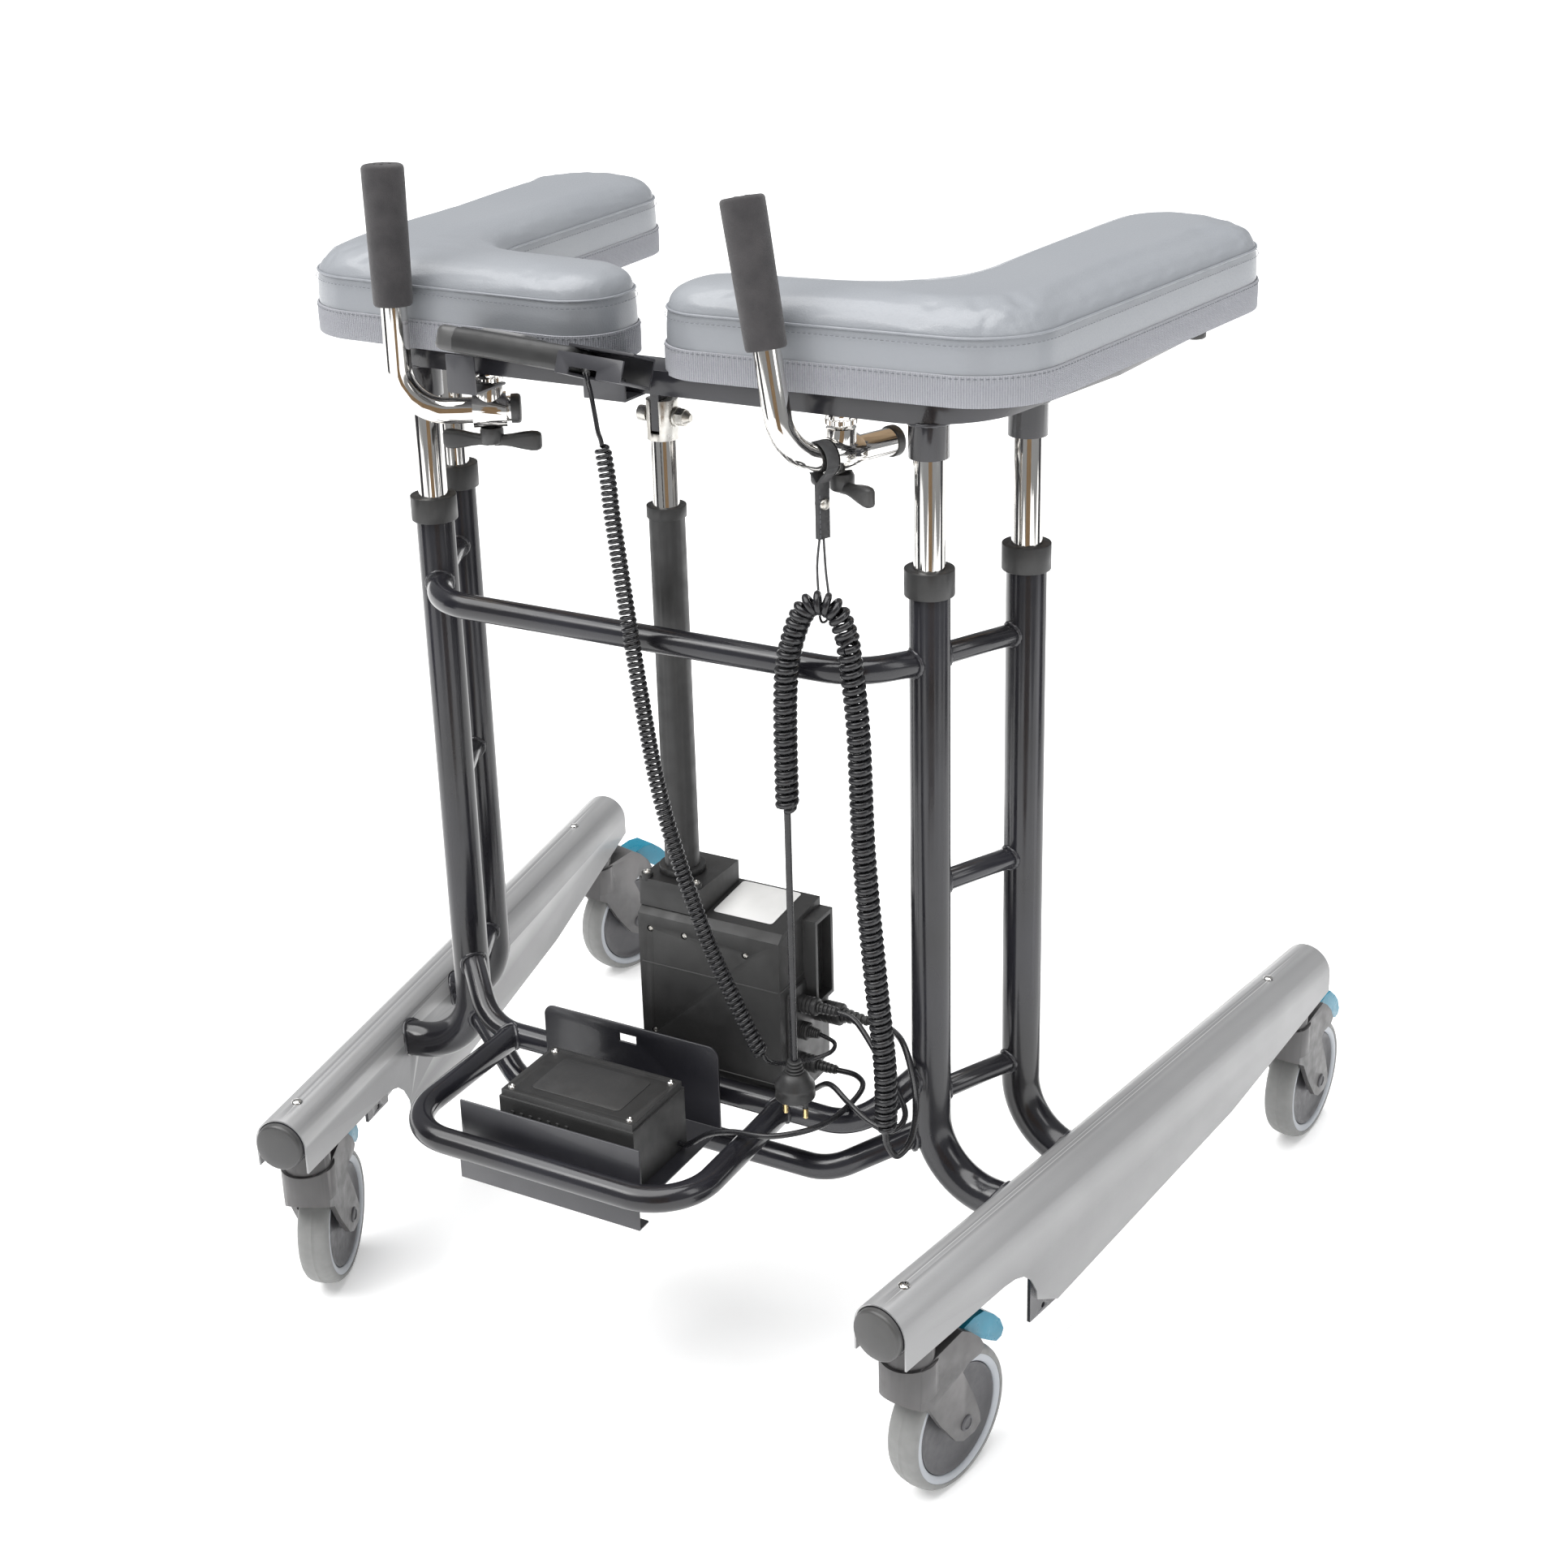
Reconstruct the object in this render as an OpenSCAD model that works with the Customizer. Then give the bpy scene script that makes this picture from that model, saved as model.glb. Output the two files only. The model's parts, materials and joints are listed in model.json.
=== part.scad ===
// Electric height-adjustable forearm-support walker.
// Zero is on the floor under the middle of the walker, Z up, X sideways, -Y towards the front.

/* [Frame] */
// Front column centre line, sideways from the middle
front_column_x = 238; // [234:1:242]
// Rear column centre line, sideways from the middle
rear_column_x = 281; // [277:1:285]
// Outside diameter of the welded columns
column_diameter = 33; // [31:1:34]
// Outside diameter of the chrome lift tubes
lift_tube_diameter = 25; // [23:1:26]
// Outside diameter of the crossbars and the tray hoop
bar_diameter = 22; // [20:1:23]
// Outside diameter of the leg tubes
leg_tube_diameter = 45; // [43:1:45]

/* [Casters] */
// Outside diameter of the wheels
wheel_diameter = 125; // [121:1:125]
// Width of the wheels
wheel_width = 29; // [26:1:30]

/* [Forearm support] */
// Height of the armrest bar's underside above the floor
bar_underside = 857; // [853:1:861]
// Height of the cushions above their underside
cushion_height = 70; // [60:1:75]
// Height of the handle grips' tops above the handle arm
handle_height = 205; // [195:1:215]

/* [Lift] */
// Diameter of the actuator's chrome rod
rod_diameter = 22; // [20:1:23]
// Outside diameter of the actuator's black tube
actuator_diameter = 30; // [30:1:34]

/* [Hidden] */
$fn = 48;
// The layout is drawn from the line of the studs, then moved so that zero is in the middle.
middle = [0, 100];
gap = 0.05;
column_r = column_diameter / 2;
column_bend = 60;
lift_r = lift_tube_diameter / 2;
bar_r = bar_diameter / 2;
leg_r = leg_tube_diameter / 2;
wheel_r = wheel_diameter / 2;
rod_r = rod_diameter / 2;
actuator_r = actuator_diameter / 2;
front_column = [front_column_x, -70];
rear_column = [rear_column_x, 20];
collar_top = 739;
// A leg's front end, its outward angle and the height of its axis
leg_start = [296.3, -282];
leg_angle = 9.74;
leg_z = 191;
leg_length = 710;
cover_length = 717;
// Distances along a leg to the caster stems and to the cover's rivets
stem_along = [35.5, 676.8];
rivet_along = [30, 632];
// Trailing direction of each caster, turned from the rear
yaw_front_left = 22.9;
yaw_front_right = -12.3;
yaw_rear_left = -14;
yaw_rear_right = -6.3;
trail = 48;
bar_top = bar_underside + 20;
stud_x = 166;
stud_y = -76;
arm_z = bar_underside - 33.5;
handle_r = 11;
handle_bend = 40;
grip_length = 115;
// Handle arm direction, distances from stud to grip and to the capped end, and lean of the grip
arm_turn_right = 21.6;
arm_reach_right = 56;
arm_tail_right = 50;
grip_lean_right = 12.3;
arm_turn_left = 57;
arm_reach_left = 73;
arm_tail_left = 18;
grip_lean_left = 2;
// Underside of the cushions; plan corners and corner radii of the right cushion
cushion_z = bar_top;
cushion_plan = [[6, -101.5], [320, -89.5], [374, 385], [222, 385], [200, 10], [6, -6]];
cushion_rounds = [44, 70, 74, 70, 85, 44];
cushion_shift = 18;
handset_centre = [-100, -126, 891];

function unit(v) = v / norm(v);
function turn(a, b) = acos(min(1, max(-1, unit(a) * unit(b))));
function corner_cut(p, i, bend) =
  (i == 0 || i == len(p) - 1) ? 0 : bend * tan(turn(p[i] - p[i - 1], p[i + 1] - p[i]) / 2);

// Bends of the bars' ends, as the corners of a 3-4-5 triangle
steep = atan(4 / 3);
shallow = atan(3 / 4);
// Extra turn of a bend, so that it runs into the straight beyond it
overrun = 0.0001;

module place() translate([-middle[0], -middle[1], 0]) children();

// Cylinder from point a to point b
module rod(a, b, r) {
  d = b - a;
  translate(a)
    rotate([0, acos(d[2] / norm(d)), atan2(d[1], d[0])])
      cylinder(r = r, h = norm(d));
}

// Round bar along a list of points, bent at each inner point with the radius bend
module bent_rod(p, r, bend) {
  for (i = [0 : len(p) - 2]) {
    u = unit(p[i + 1] - p[i]);
    rod(p[i] + u * corner_cut(p, i, bend), p[i + 1] - u * corner_cut(p, i + 1, bend), r);
  }
  for (i = [1 : 1 : len(p) - 2]) {
    u = unit(p[i] - p[i - 1]);
    v = unit(p[i + 1] - p[i]);
    n = unit(v - u * (u * v));
    w = cross(u, n);
    c = p[i] - u * corner_cut(p, i, bend) + n * bend;
    multmatrix([[-n[0], u[0], w[0], c[0]], [-n[1], u[1], w[1], c[1]], [-n[2], u[2], w[2], c[2]]])
      rotate_extrude(angle = turn(u, v))
        translate([bend, 0])
          circle(r = r);
  }
}

module both_sides() {
  children();
  mirror([1, 0, 0]) children();
}

// Frame of the right leg: Y runs along the leg, X points outwards
module on_leg() translate([leg_start[0], leg_start[1], 0]) rotate([0, 0, -leg_angle]) children();

function leg_out(d) = d * [cos(leg_angle), -sin(leg_angle)];

// Column's upright, its outward bend and the stub that reaches along X, in the column's own frame
module column_run(r, top, reach) {
  translate([0, 0, leg_z + column_bend])
    cylinder(r = r, h = top - leg_z - column_bend);
  translate([column_bend, 0, leg_z + column_bend])
    rotate([90, 0, 0])
      rotate([0, 0, 180])
        rotate_extrude(angle = 90)
          translate([column_bend, 0])
            circle(r = r);
  translate([column_bend, 0, leg_z])
    rotate([0, 90, 0])
      cylinder(r = r, h = reach - column_bend);
}

module at_column(c) translate([c[0], c[1], 0]) rotate([0, 0, -leg_angle]) children();

module column(c) {
  to_leg = (leg_start - c) * leg_out(1);
  at_column(c)
    difference() {
      column_run(column_r, collar_top - 6, to_leg);
      translate([0, 0, 262])
        cylinder(r = 14, h = 500);
      translate([to_leg, -300, leg_z])
        rotate([-90, 0, 0])
          cylinder(r = leg_r + gap, h = 600);
    }
}

module front_columns() place() color([0.2, 0.2, 0.23]) both_sides() column(front_column);

module rear_columns() place() color([0.2, 0.2, 0.23]) both_sides() column(rear_column);

module column_hole(c, h0, h1) {
  translate([c[0], c[1], h0])
    cylinder(r = column_r + gap, h = h1 - h0);
}

module side_rungs() place() color([0.2, 0.2, 0.23])
  both_sides()
    for (z = [270, 465, 664])
      difference() {
        rod([front_column[0], front_column[1], z], [rear_column[0], rear_column[1], z], 9);
        column_hole(front_column, z - 20, z + 20);
        column_hole(rear_column, z - 20, z + 20);
      }

// Bar along X, straight for half on each side, its ends bent towards +Y
module bent_bar(half, bend, angle, tail) {
  rotate([0, 90, 0])
    cylinder(r = bar_r, h = 2 * half, center = true);
  both_sides()
    translate([half, bend, 0]) {
      rotate([0, 0, -90])
        rotate_extrude(angle = angle + overrun)
          translate([bend, 0])
            circle(r = bar_r);
      rotate([0, 0, angle])
        translate([0, -bend, 0])
          rotate([0, 90, 0])
            cylinder(r = bar_r, h = tail);
    }
}

module upper_crossbar() place() color([0.2, 0.2, 0.23])
  difference() {
    translate([0, -122, 662])
      bent_bar(169, 60, steep, 35);
    both_sides() column_hole(front_column, 620, 700);
  }

// The tray bar carries the hoop, the support bar runs below it
module lower_crossbars() place() color([0.2, 0.2, 0.23]) {
  difference() {
    translate([0, -112, 247])
      rotate([50, 0, 0])
        bent_bar(159, 60, steep, 51);
    both_sides() column_hole(front_column, 251, 400);
  }
  difference() {
    translate([0, -110, 195])
      rotate([46, 0, 0])
        bent_bar(140, 60, shallow, 76);
    both_sides() at_column(front_column) column_run(column_r + gap, 400, 100);
  }
}

module tray_hoop() place() color([0.2, 0.2, 0.23])
  difference() {
    bent_rod([[-162, -112, 247], [-162, -283, 247], [118, -283, 247], [118, -112, 247]], bar_r, 50);
    translate([-200, -112, 247])
      rotate([0, 90, 0])
        cylinder(r = bar_r + gap, h = 400);
    translate([-300, -112, 200])
      cube([600, 100, 100]);
  }

// The tab under each cover hangs from the leg tube beside the front column
module leg_tubes() place() color([0.2, 0.2, 0.23])
  both_sides()
    on_leg() {
      difference() {
        translate([0, -2, leg_z])
          rotate([-90, 0, 0])
            cylinder(r = leg_r, h = leg_length);
        translate([0, -3, leg_z])
          rotate([-90, 0, 0])
            cylinder(r = 20, h = leg_length + 2);
        for (s = stem_along)
          translate([0, s, leg_z - 40])
            cylinder(r = 6, h = 40);
        for (s = rivet_along)
          translate([0, s, leg_z])
            cylinder(r = 2.5, h = 40);
      }
      difference() {
        translate([19.8, 176, 103])
          cube([3, 40, 80]);
        translate([10, 196, 109])
          rotate([0, 90, 0])
            cylinder(r = 2.5, h = 20);
        translate([0, 100, leg_z])
          rotate([-90, 0, 0])
            cylinder(r = 21, h = 200);
      }
    }

// Side view of a cover's skirt, along the leg and up
skirt = [[-2, 220], [-2, 166], [134, 164], [150, 162], [163, 157], [174, 147], [183, 131],
  [184, 122], [216, 104], [520, 133], [cover_length, 172], [cover_length, 220]];

module leg_covers() place() color([0.6, 0.6, 0.62])
  both_sides()
    difference() {
      on_leg()
        difference() {
          intersection() {
            translate([0, -2, leg_z])
              rotate([90, 0, 0])
                mirror([0, 0, 1])
                  linear_extrude(cover_length + 2)
                    difference() {
                      union() {
                        circle(r = 24.9);
                        translate([-24.9, -100])
                          square([49.8, 100]);
                      }
                      circle(r = 23.3);
                      translate([-23.3, -101])
                        square([46.6, 101]);
                    }
            rotate([90, 0, 90])
              linear_extrude(60, center = true)
                polygon(skirt);
          }
          for (s = rivet_along)
            translate([0, s, leg_z])
              cylinder(r = 2.5, h = 40);
        }
      at_column(front_column) column_run(column_r + 1, 260, 85);
      at_column(rear_column) column_run(column_r + 1, 260, 61);
    }

module leg_end_caps() place() color([0.3, 0.3, 0.32])
  both_sides()
    on_leg()
      for (e = [0, 1])
        translate([0, e * (leg_length - 4), leg_z])
          rotate([e * 180 - 90, 0, 0])
            translate([0, 0, -2])
              difference() {
                union() {
                  cylinder(r = 19.9, h = 16);
                  translate([0, 0, -3])
                    cylinder(r = 22, h = 3);
                  translate([0, 0, -4.5])
                    cylinder(r1 = 19, r2 = 22, h = 1.5);
                }
                translate([0, 0, 2])
                  cylinder(r = 17.5, h = 20);
              }

module cover_rivets() place() color([0.8, 0.8, 0.82])
  both_sides()
    on_leg()
      for (s = rivet_along)
        translate([0, s, leg_z]) {
          cylinder(r = 2.4, h = 26);
          translate([0, 0, 25])
            cylinder(r = 5, h = 1.6);
        }

module column_collars() place() color([0.12, 0.12, 0.13])
  both_sides()
    for (c = [front_column, rear_column])
      translate([c[0], c[1], 0])
        difference() {
          union() {
            translate([0, 0, collar_top - 22])
              cylinder(r = 20, h = 22);
            translate([0, 0, collar_top - 60])
              cylinder(r = 13.95, h = 60);
          }
          difference() {
            translate([0, 0, collar_top - 23])
              cylinder(r = column_r + gap, h = 17);
            translate([0, 0, collar_top - 60])
              cylinder(r = 13.95, h = 60);
          }
          cylinder(r = lift_r + gap, h = 1000);
        }

// Bent sheet: rear plate with a slot, floor, front lip, and the channel under the hoop
module battery_tray() place() color([0.14, 0.14, 0.15]) {
  difference() {
    union() {
      translate([-109, -137, 226])
        cube([178, 2, 68]);
      translate([-99, -137, 226])
        cube([158, 2, 78]);
      for (x = [-99, 59])
        translate([x, -135, 294])
          rotate([90, 0, 0])
            cylinder(r = 10, h = 2);
    }
    translate([-30.5, -140, 287])
      cube([17, 10, 8]);
  }
  translate([-109, -262, 224])
    cube([178, 127, 2]);
  translate([-109, -264, 224])
    cube([178, 2, 53]);
  translate([-104, -276, 210])
    cube([178, 2, 28]);
  translate([-104, -276, 210])
    cube([178, 14, 2]);
  translate([-104, -276, 224])
    cube([173, 14, 2]);
}

module battery_box() place() color([0.16, 0.16, 0.17])
  difference() {
    union() {
      translate([-78, -250, 226])
        cube([133, 80, 56]);
      translate([-76.5, -248.5, 282])
        cube([130, 77, 6]);
    }
    translate([-75, -247, 229])
      cube([127, 74, 54]);
    for (x = [-70, 47])
      for (y = [-242, -178])
        translate([x, y, 286])
          cylinder(r = 3, h = 5);
  }

module battery_cells() place() color([0.35, 0.35, 0.4])
  for (x = [-73, -10])
    translate([x, -244, 229.5])
      cube([60, 68, 50]);

// Control box and gear housing of the actuator, hollow inside
module actuator_housing() place() color([0.13, 0.13, 0.14])
  difference() {
    union() {
      translate([-26, 0, 0])
        rotate([90, 0, 90])
          linear_extrude(139)
            polygon([[-105, 258], [-105, 398], [-97, 404], [-30, 410], [-30, 236], [-96, 236], [-96, 258]]);
      translate([-26, -100, 404])
        cube([61, 66, 26]);
      translate([113, -62, 320])
        cube([12, 32, 82]);
      for (x = [-20, 29])
        translate([x, -96, 428])
          cylinder(r = 5, h = 6);
    }
    translate([-22, -92, 240])
      cube([131, 58, 118]);
    translate([0, -70, 350])
      cylinder(r = actuator_r + gap, h = 100);
    translate([116, -58, 324])
      cube([12, 24, 74]);
    for (p = [[-14, 385], [20, 385], [80, 380], [-14, 285]])
      translate([p[0], -100, p[1]])
        rotate([90, 0, 0])
          cylinder(r = 3, h = 10);
    for (z = [327, 301, 270])
      translate([105, -72, z])
        rotate([0, 90, 0])
          cylinder(r = 7, h = 10);
    translate([105, -40, 305])
      rotate([0, 90, 0])
        cylinder(r = 9, h = 10);
  }

module actuator_tube() place() color([0.15, 0.15, 0.16])
  translate([0, -70, 0])
    difference() {
      union() {
        translate([0, 0, 360])
          cylinder(r = actuator_r, h = 400);
        translate([0, 0, 430])
          cylinder(r = 20, h = 6);
        translate([0, 0, 750])
          cylinder(r = actuator_r + 1.5, h = 10);
      }
      translate([0, 0, 350])
        cylinder(r = 12.5, h = 396);
      cylinder(r = rod_r + gap, h = 800);
    }

// Upright motor with its pinion, beside the spindle's gear
module actuator_motor() place() color([0.5, 0.5, 0.52])
  translate([28, -68, 0]) {
    translate([0, 0, 242])
      cylinder(r = 23, h = 80);
    translate([0, 0, 322])
      cylinder(r = 3, h = 22);
    translate([0, 0, 334])
      cylinder(r = 7.5, h = 10);
  }

module spindle() place() color([0.7, 0.7, 0.72])
  translate([0, -70, 0]) {
    translate([0, 0, 334])
      cylinder(r = 20, h = 10);
    translate([0, 0, 344])
      cylinder(r = 6, h = 413);
  }

// Plugs standing out of the housing's side, lead by lead
module side_plug(y, z, r, length) {
  translate([105, y, z])
    rotate([0, 90, 0]) {
      cylinder(r = r - 0.1, h = 8);
      translate([0, 0, 8])
        cylinder(r = r + 1, h = length * 0.55);
      translate([0, 0, 8 + length * 0.55])
        cylinder(r1 = r, r2 = 4, h = length * 0.45);
    }
}

module cord_plugs() place() color([0.14, 0.14, 0.15]) {
  side_plug(-72, 327, 7, 38);
  side_plug(-72, 301, 7, 20);
  side_plug(-72, 270, 7, 36);
  side_plug(-40, 305, 9, 52);
}

module caster_stems() place() color([0.7, 0.7, 0.72])
  both_sides()
    on_leg()
      for (s = stem_along)
        translate([0, s, 0]) {
          translate([0, 0, 144])
            cylinder(r = 5.95, h = 40);
          translate([0, 0, 176])
            cylinder(r = 10, h = 10, $fn = 6);
        }

// Cord along a line of points, with a radius for each point
module cord(p, r, sides) {
  n = len(p);
  ring = [for (i = [0 : n - 1])
    let (t = unit(p[min(i + 1, n - 1)] - p[max(i - 1, 0)]),
         a = unit(cross(t, abs(t[1]) < 0.9 ? [0, 1, 0] : [1, 0, 0])),
         b = cross(t, a))
    for (k = [0 : sides - 1])
      p[i] + r[i] * (a * cos(360 * k / sides) + b * sin(360 * k / sides))];
  polyhedron(ring, concat(
    [[for (k = [0 : sides - 1]) k]],
    [[for (k = [sides - 1 : -1 : 0]) (n - 1) * sides + k]],
    [for (i = [0 : n - 2]) for (k = [0 : sides - 1])
      [i * sides + k, (i + 1) * sides + k, (i + 1) * sides + (k + 1) % sides, i * sides + (k + 1) % sides]]));
}

// Points on a smooth curve through the route points, steps of them between each pair
function blend(a, b, c, d, t) =
  0.5 * (2 * b + (c - a) * t + (2 * a - 5 * b + 4 * c - d) * t * t
    + (3 * b - a - 3 * c + d) * t * t * t);
function route(p, steps) = [for (i = [0 : len(p) - 2]) for (s = [0 : steps - 1])
  blend(p[max(i - 1, 0)], p[i], p[i + 1], p[min(i + 2, len(p) - 1)], s / steps), p[len(p) - 1]];
// Outside radius of each cord and of its curled length
lead_r = 2.5;
cord_r = 3;
handset_curl_r = 7;
mains_curl_r = 10;
// Routes of the cords; the curled lengths run between the points that coil_span numbers
handset_route = [[-31.5, -129, 886], [-27, -135, 879], [-20, -141, 868], [-13, -147, 852], [-9, -150, 840],
  [-6, -150, 830], [-2, -150, 800], [1, -150, 764], [17.5, -150, 629], [35, -150, 525], [69, -150, 421],
  [105, -150, 346], [121, -149, 318], [125, -139, 307], [131, -122, 299], [141, -103, 295],
  [151, -87, 296], [149, -76, 299], [133.1, -72, 301]];
feed_route = [[165.1, -40, 305], [185, -44, 306], [215, -74, 311], [243, -110, 290], [247, -126, 262],
  [240, -138, 249], [233, -142, 258], [231, -142, 272], [231, -142, 330], [223, -142, 415],
  [214, -141, 520], [210, -140, 624], [203, -140, 690]];
hung_route = [[202, -140, 698], [192, -142, 721], [172, -146, 722], [158, -149, 690], [152, -150, 645],
  [151, -150, 547], [151, -150, 535], [151, -150, 430], [151, -150, 322]];
battery_route = [[55.2, -182, 234], [66, -184, 237], [88, -188, 255], [112, -188, 264], [150, -187, 270],
  [177, -157, 270], [181, -112, 266], [181, -86, 270], [168, -74, 271], [149.1, -72, 270]];
motor_route = [[151.1, -72, 327], [172, -76, 323], [214, -104, 300], [236, -116, 276], [228, -126, 262],
  [206, -124, 264], [182, -116, 272], [158, -104, 276], [130, -87, 253], [113.1, -86, 252]];
handset_span = [5, 12];
feed_span = [7, 12];
hung_span = [0, 5];

// Cord with a curled length between the route points that span names
module curly_cord(p, span, curl_r) {
  steps = 5;
  points = route(p, steps);
  cord(points, [for (i = [0 : len(points) - 1])
    (i >= span[0] * steps && i <= span[1] * steps) ? curl_r : cord_r], 8);
}

module plain_lead(p) {
  points = route(p, 5);
  cord(points, [for (q = points) lead_r], 8);
}

module handset_cord()
    place() color([0.08, 0.08, 0.09]) curly_cord(handset_route, handset_span, handset_curl_r);

module mains_cord_feed() place() color([0.08, 0.08, 0.09]) curly_cord(feed_route, feed_span, mains_curl_r);

module mains_cord_hung() place() color([0.08, 0.08, 0.09]) curly_cord(hung_route, hung_span, mains_curl_r);

module battery_lead() place() color([0.08, 0.08, 0.09]) plain_lead(battery_route);

module motor_lead() place() color([0.08, 0.08, 0.09]) plain_lead(motor_route);

module mains_plug() place() color([0.09, 0.09, 0.1])
  translate([151, -150, 0]) {
    translate([0, 0, 288])
      cylinder(r = 17, h = 24);
    translate([0, 0, 312])
      cylinder(r1 = 12, r2 = 5, h = 10);
    for (x = [-9.5, 9.5])
      translate([x, 0, 269])
        cylinder(r = 2.4, h = 19);
  }

module lift_tubes() place() color([0.8, 0.8, 0.8])
  both_sides()
    for (c = [front_column, rear_column])
      translate([c[0], c[1], 318])
        difference() {
          cylinder(r = lift_r, h = bar_underside - 318);
          translate([0, 0, -1])
            cylinder(r = lift_r - 2, h = bar_underside - 318);
        }

// Plan of the flat bar's right half: straight, round the front corner, then rearwards
bar_corner = [263.9, -70];
bar_knee = [300, 120];
bar_end = [310, 290];
bar_bend = 60;
bar_width = 40;
bar_wall = 2;

// One edge of the right half, at the distance e outside the centre line, longer by extra at the end
function bar_edge(e, extra) =
  let (first = unit(bar_knee - bar_corner), second = unit(bar_end - bar_knee),
       sweep = turn([1, 0], first), back = bar_bend * tan(sweep / 2),
       m = [first[1], -first[0]], n = [second[1], -second[0]])
  [for (k = [0 : 10]) let (a = sweep * k / 10)
     bar_corner + [-back, bar_bend] + (bar_bend + e) * [sin(a), -cos(a)],
   bar_knee + e * (m + n) / (1 + m * n), bar_end + e * n + extra * second];
function backwards(p) = [for (i = [len(p) - 1 : -1 : 0]) p[i]];
function to_left(p) = [for (q = p) [-q[0], q[1]]];

module bar_plan(e, extra) {
  outer = bar_edge(e, extra);
  inner = bar_edge(-e, extra);
  polygon(concat(outer, backwards(inner), to_left(inner), to_left(backwards(outer))));
}

module armrest_bar() place() color([0.2, 0.2, 0.23]) {
  translate([0, 0, bar_underside])
    difference() {
      linear_extrude(bar_top - bar_underside)
        bar_plan(bar_width / 2, 0);
      translate([0, 0, bar_wall])
        linear_extrude(bar_top - bar_underside - 2 * bar_wall)
          bar_plan(bar_width / 2 - bar_wall, 2);
    }
  both_sides()
    for (c = [front_column, rear_column])
      translate([c[0], c[1], bar_underside - 29])
        difference() {
          cylinder(r = 16, h = 29);
          translate([0, 0, -1])
            cylinder(r = lift_r, h = 31);
        }
  difference() {
    translate([-4, -81, 824])
      cube([8, 22, bar_underside - 824]);
    translate([-10, -70, 835])
      rotate([0, 90, 0])
        cylinder(r = 4, h = 20);
  }
}

// Plan outline moved inwards by d, with rounded corners
function side_normal(a, b) = [-(b - a)[1], (b - a)[0]] / norm(b - a);
function moved_in(p, d) = [for (i = [0 : len(p) - 1])
  let (a = p[(i + len(p) - 1) % len(p)], b = p[i], c = p[(i + 1) % len(p)],
       m = side_normal(a, b), n = side_normal(b, c))
  b + d * (m + n) / (1 + m * n)];
function round_corner(a, b, c, r) =
  let (u = unit(a - b), v = unit(c - b), half = turn(u, v) / 2,
       q = b + unit(u + v) * r / sin(half),
       start = q - b - u * ((q - b) * u), stop = q - b - v * ((q - b) * v),
       a0 = atan2(-start[1], -start[0]), a1 = atan2(-stop[1], -stop[0]),
       da = (a1 - a0 + 540) % 360 - 180)
  [for (k = [0 : 8]) q + r * [cos(a0 + da * k / 8), sin(a0 + da * k / 8)]];
function rounded(p, r) = [for (i = [0 : len(p) - 1])
  each round_corner(p[(i + len(p) - 1) % len(p)], p[i], p[(i + 1) % len(p)], r[i])];
function inner_rounds(r, d) = [for (i = [0 : len(r) - 1]) i == 4 ? r[i] + d : r[i] - d];

module cushion_slab(d, z0, z1) {
  translate([0, 0, z0])
    linear_extrude(z1 - z0)
      polygon(rounded(moved_in(cushion_plan, d), inner_rounds(cushion_rounds, d)));
}

// Foam pad over its board, with a crowned top
module right_cushion() {
  difference() {
    union() {
      cushion_slab(0, cushion_z, cushion_z + cushion_height - 11);
      cushion_slab(2.5, cushion_z + cushion_height - 11, cushion_z + cushion_height - 6);
      cushion_slab(8, cushion_z + cushion_height - 6, cushion_z + cushion_height - 2);
      cushion_slab(18, cushion_z + cushion_height - 2, cushion_z + cushion_height);
    }
    cushion_slab(5, cushion_z - 1, cushion_z + 12);
  }
}

module right_board() {
  cushion_slab(5, cushion_z, cushion_z + 12);
  translate([345, 222, cushion_z - 9])
    cylinder(r = 8.5, h = 9);
}

module cushion_right() place() color([0.75, 0.78, 0.8]) right_cushion();

module cushion_left() place() color([0.75, 0.78, 0.8])
  translate([-2 * cushion_shift, 0, 0])
    mirror([1, 0, 0])
      right_cushion();

module cushion_boards() place() color([0.6, 0.5, 0.35]) {
  right_board();
  translate([-2 * cushion_shift, 0, 0])
    mirror([1, 0, 0])
      right_board();
}

module actuator_rod() place() color([0.82, 0.82, 0.82])
  translate([0, -70, 0])
    difference() {
      union() {
        translate([0, 0, 420])
          cylinder(r = rod_r, h = 396);
        translate([0, 0, 420])
          cylinder(r = 12.4, h = 26);
      }
      translate([0, 0, 446])
        cylinder(r = 8, h = 366);
      cylinder(r = 6 + gap, h = 500);
    }

module rod_fork() place() color([0.75, 0.73, 0.7])
  translate([0, -70, 0])
    difference() {
      translate([0, 0, 816])
        cylinder(r = 13, h = 33);
      translate([-4.2, -20, 822])
        cube([8.4, 40, 40]);
      translate([-20, 0, 835])
        rotate([0, 90, 0])
          cylinder(r = 4, h = 40);
    }

module fork_bolt() place() color([0.75, 0.73, 0.7])
  translate([0, -70, 835])
    rotate([0, 90, 0]) {
      translate([0, 0, -13])
        cylinder(r = 4, h = 36);
      difference() {
        translate([0, 0, -21])
          cylinder(r = 6.5, h = 8);
        translate([0, 0, -22])
          cylinder(r = 3.5, h = 5, $fn = 6);
      }
      translate([0, 0, 13])
        cylinder(r = 8, h = 2);
      translate([0, 0, 15])
        cylinder(r = 7.5, h = 7, $fn = 6);
      translate([0, 0, 22])
        cylinder(r1 = 6, r2 = 3, h = 5);
    }

module clamp_studs() place() color([0.78, 0.78, 0.78])
  for (x = [-stud_x, stud_x])
    translate([x, stud_y, 0]) {
      translate([0, 0, bar_underside - 9.5])
        cylinder(r = 12, h = 5.5);
      translate([0, 0, bar_underside - 4])
        cylinder(r = 13, h = 4);
      translate([0, 0, bar_underside - 17])
        cylinder(r = 5, h = 8);
    }

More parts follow.
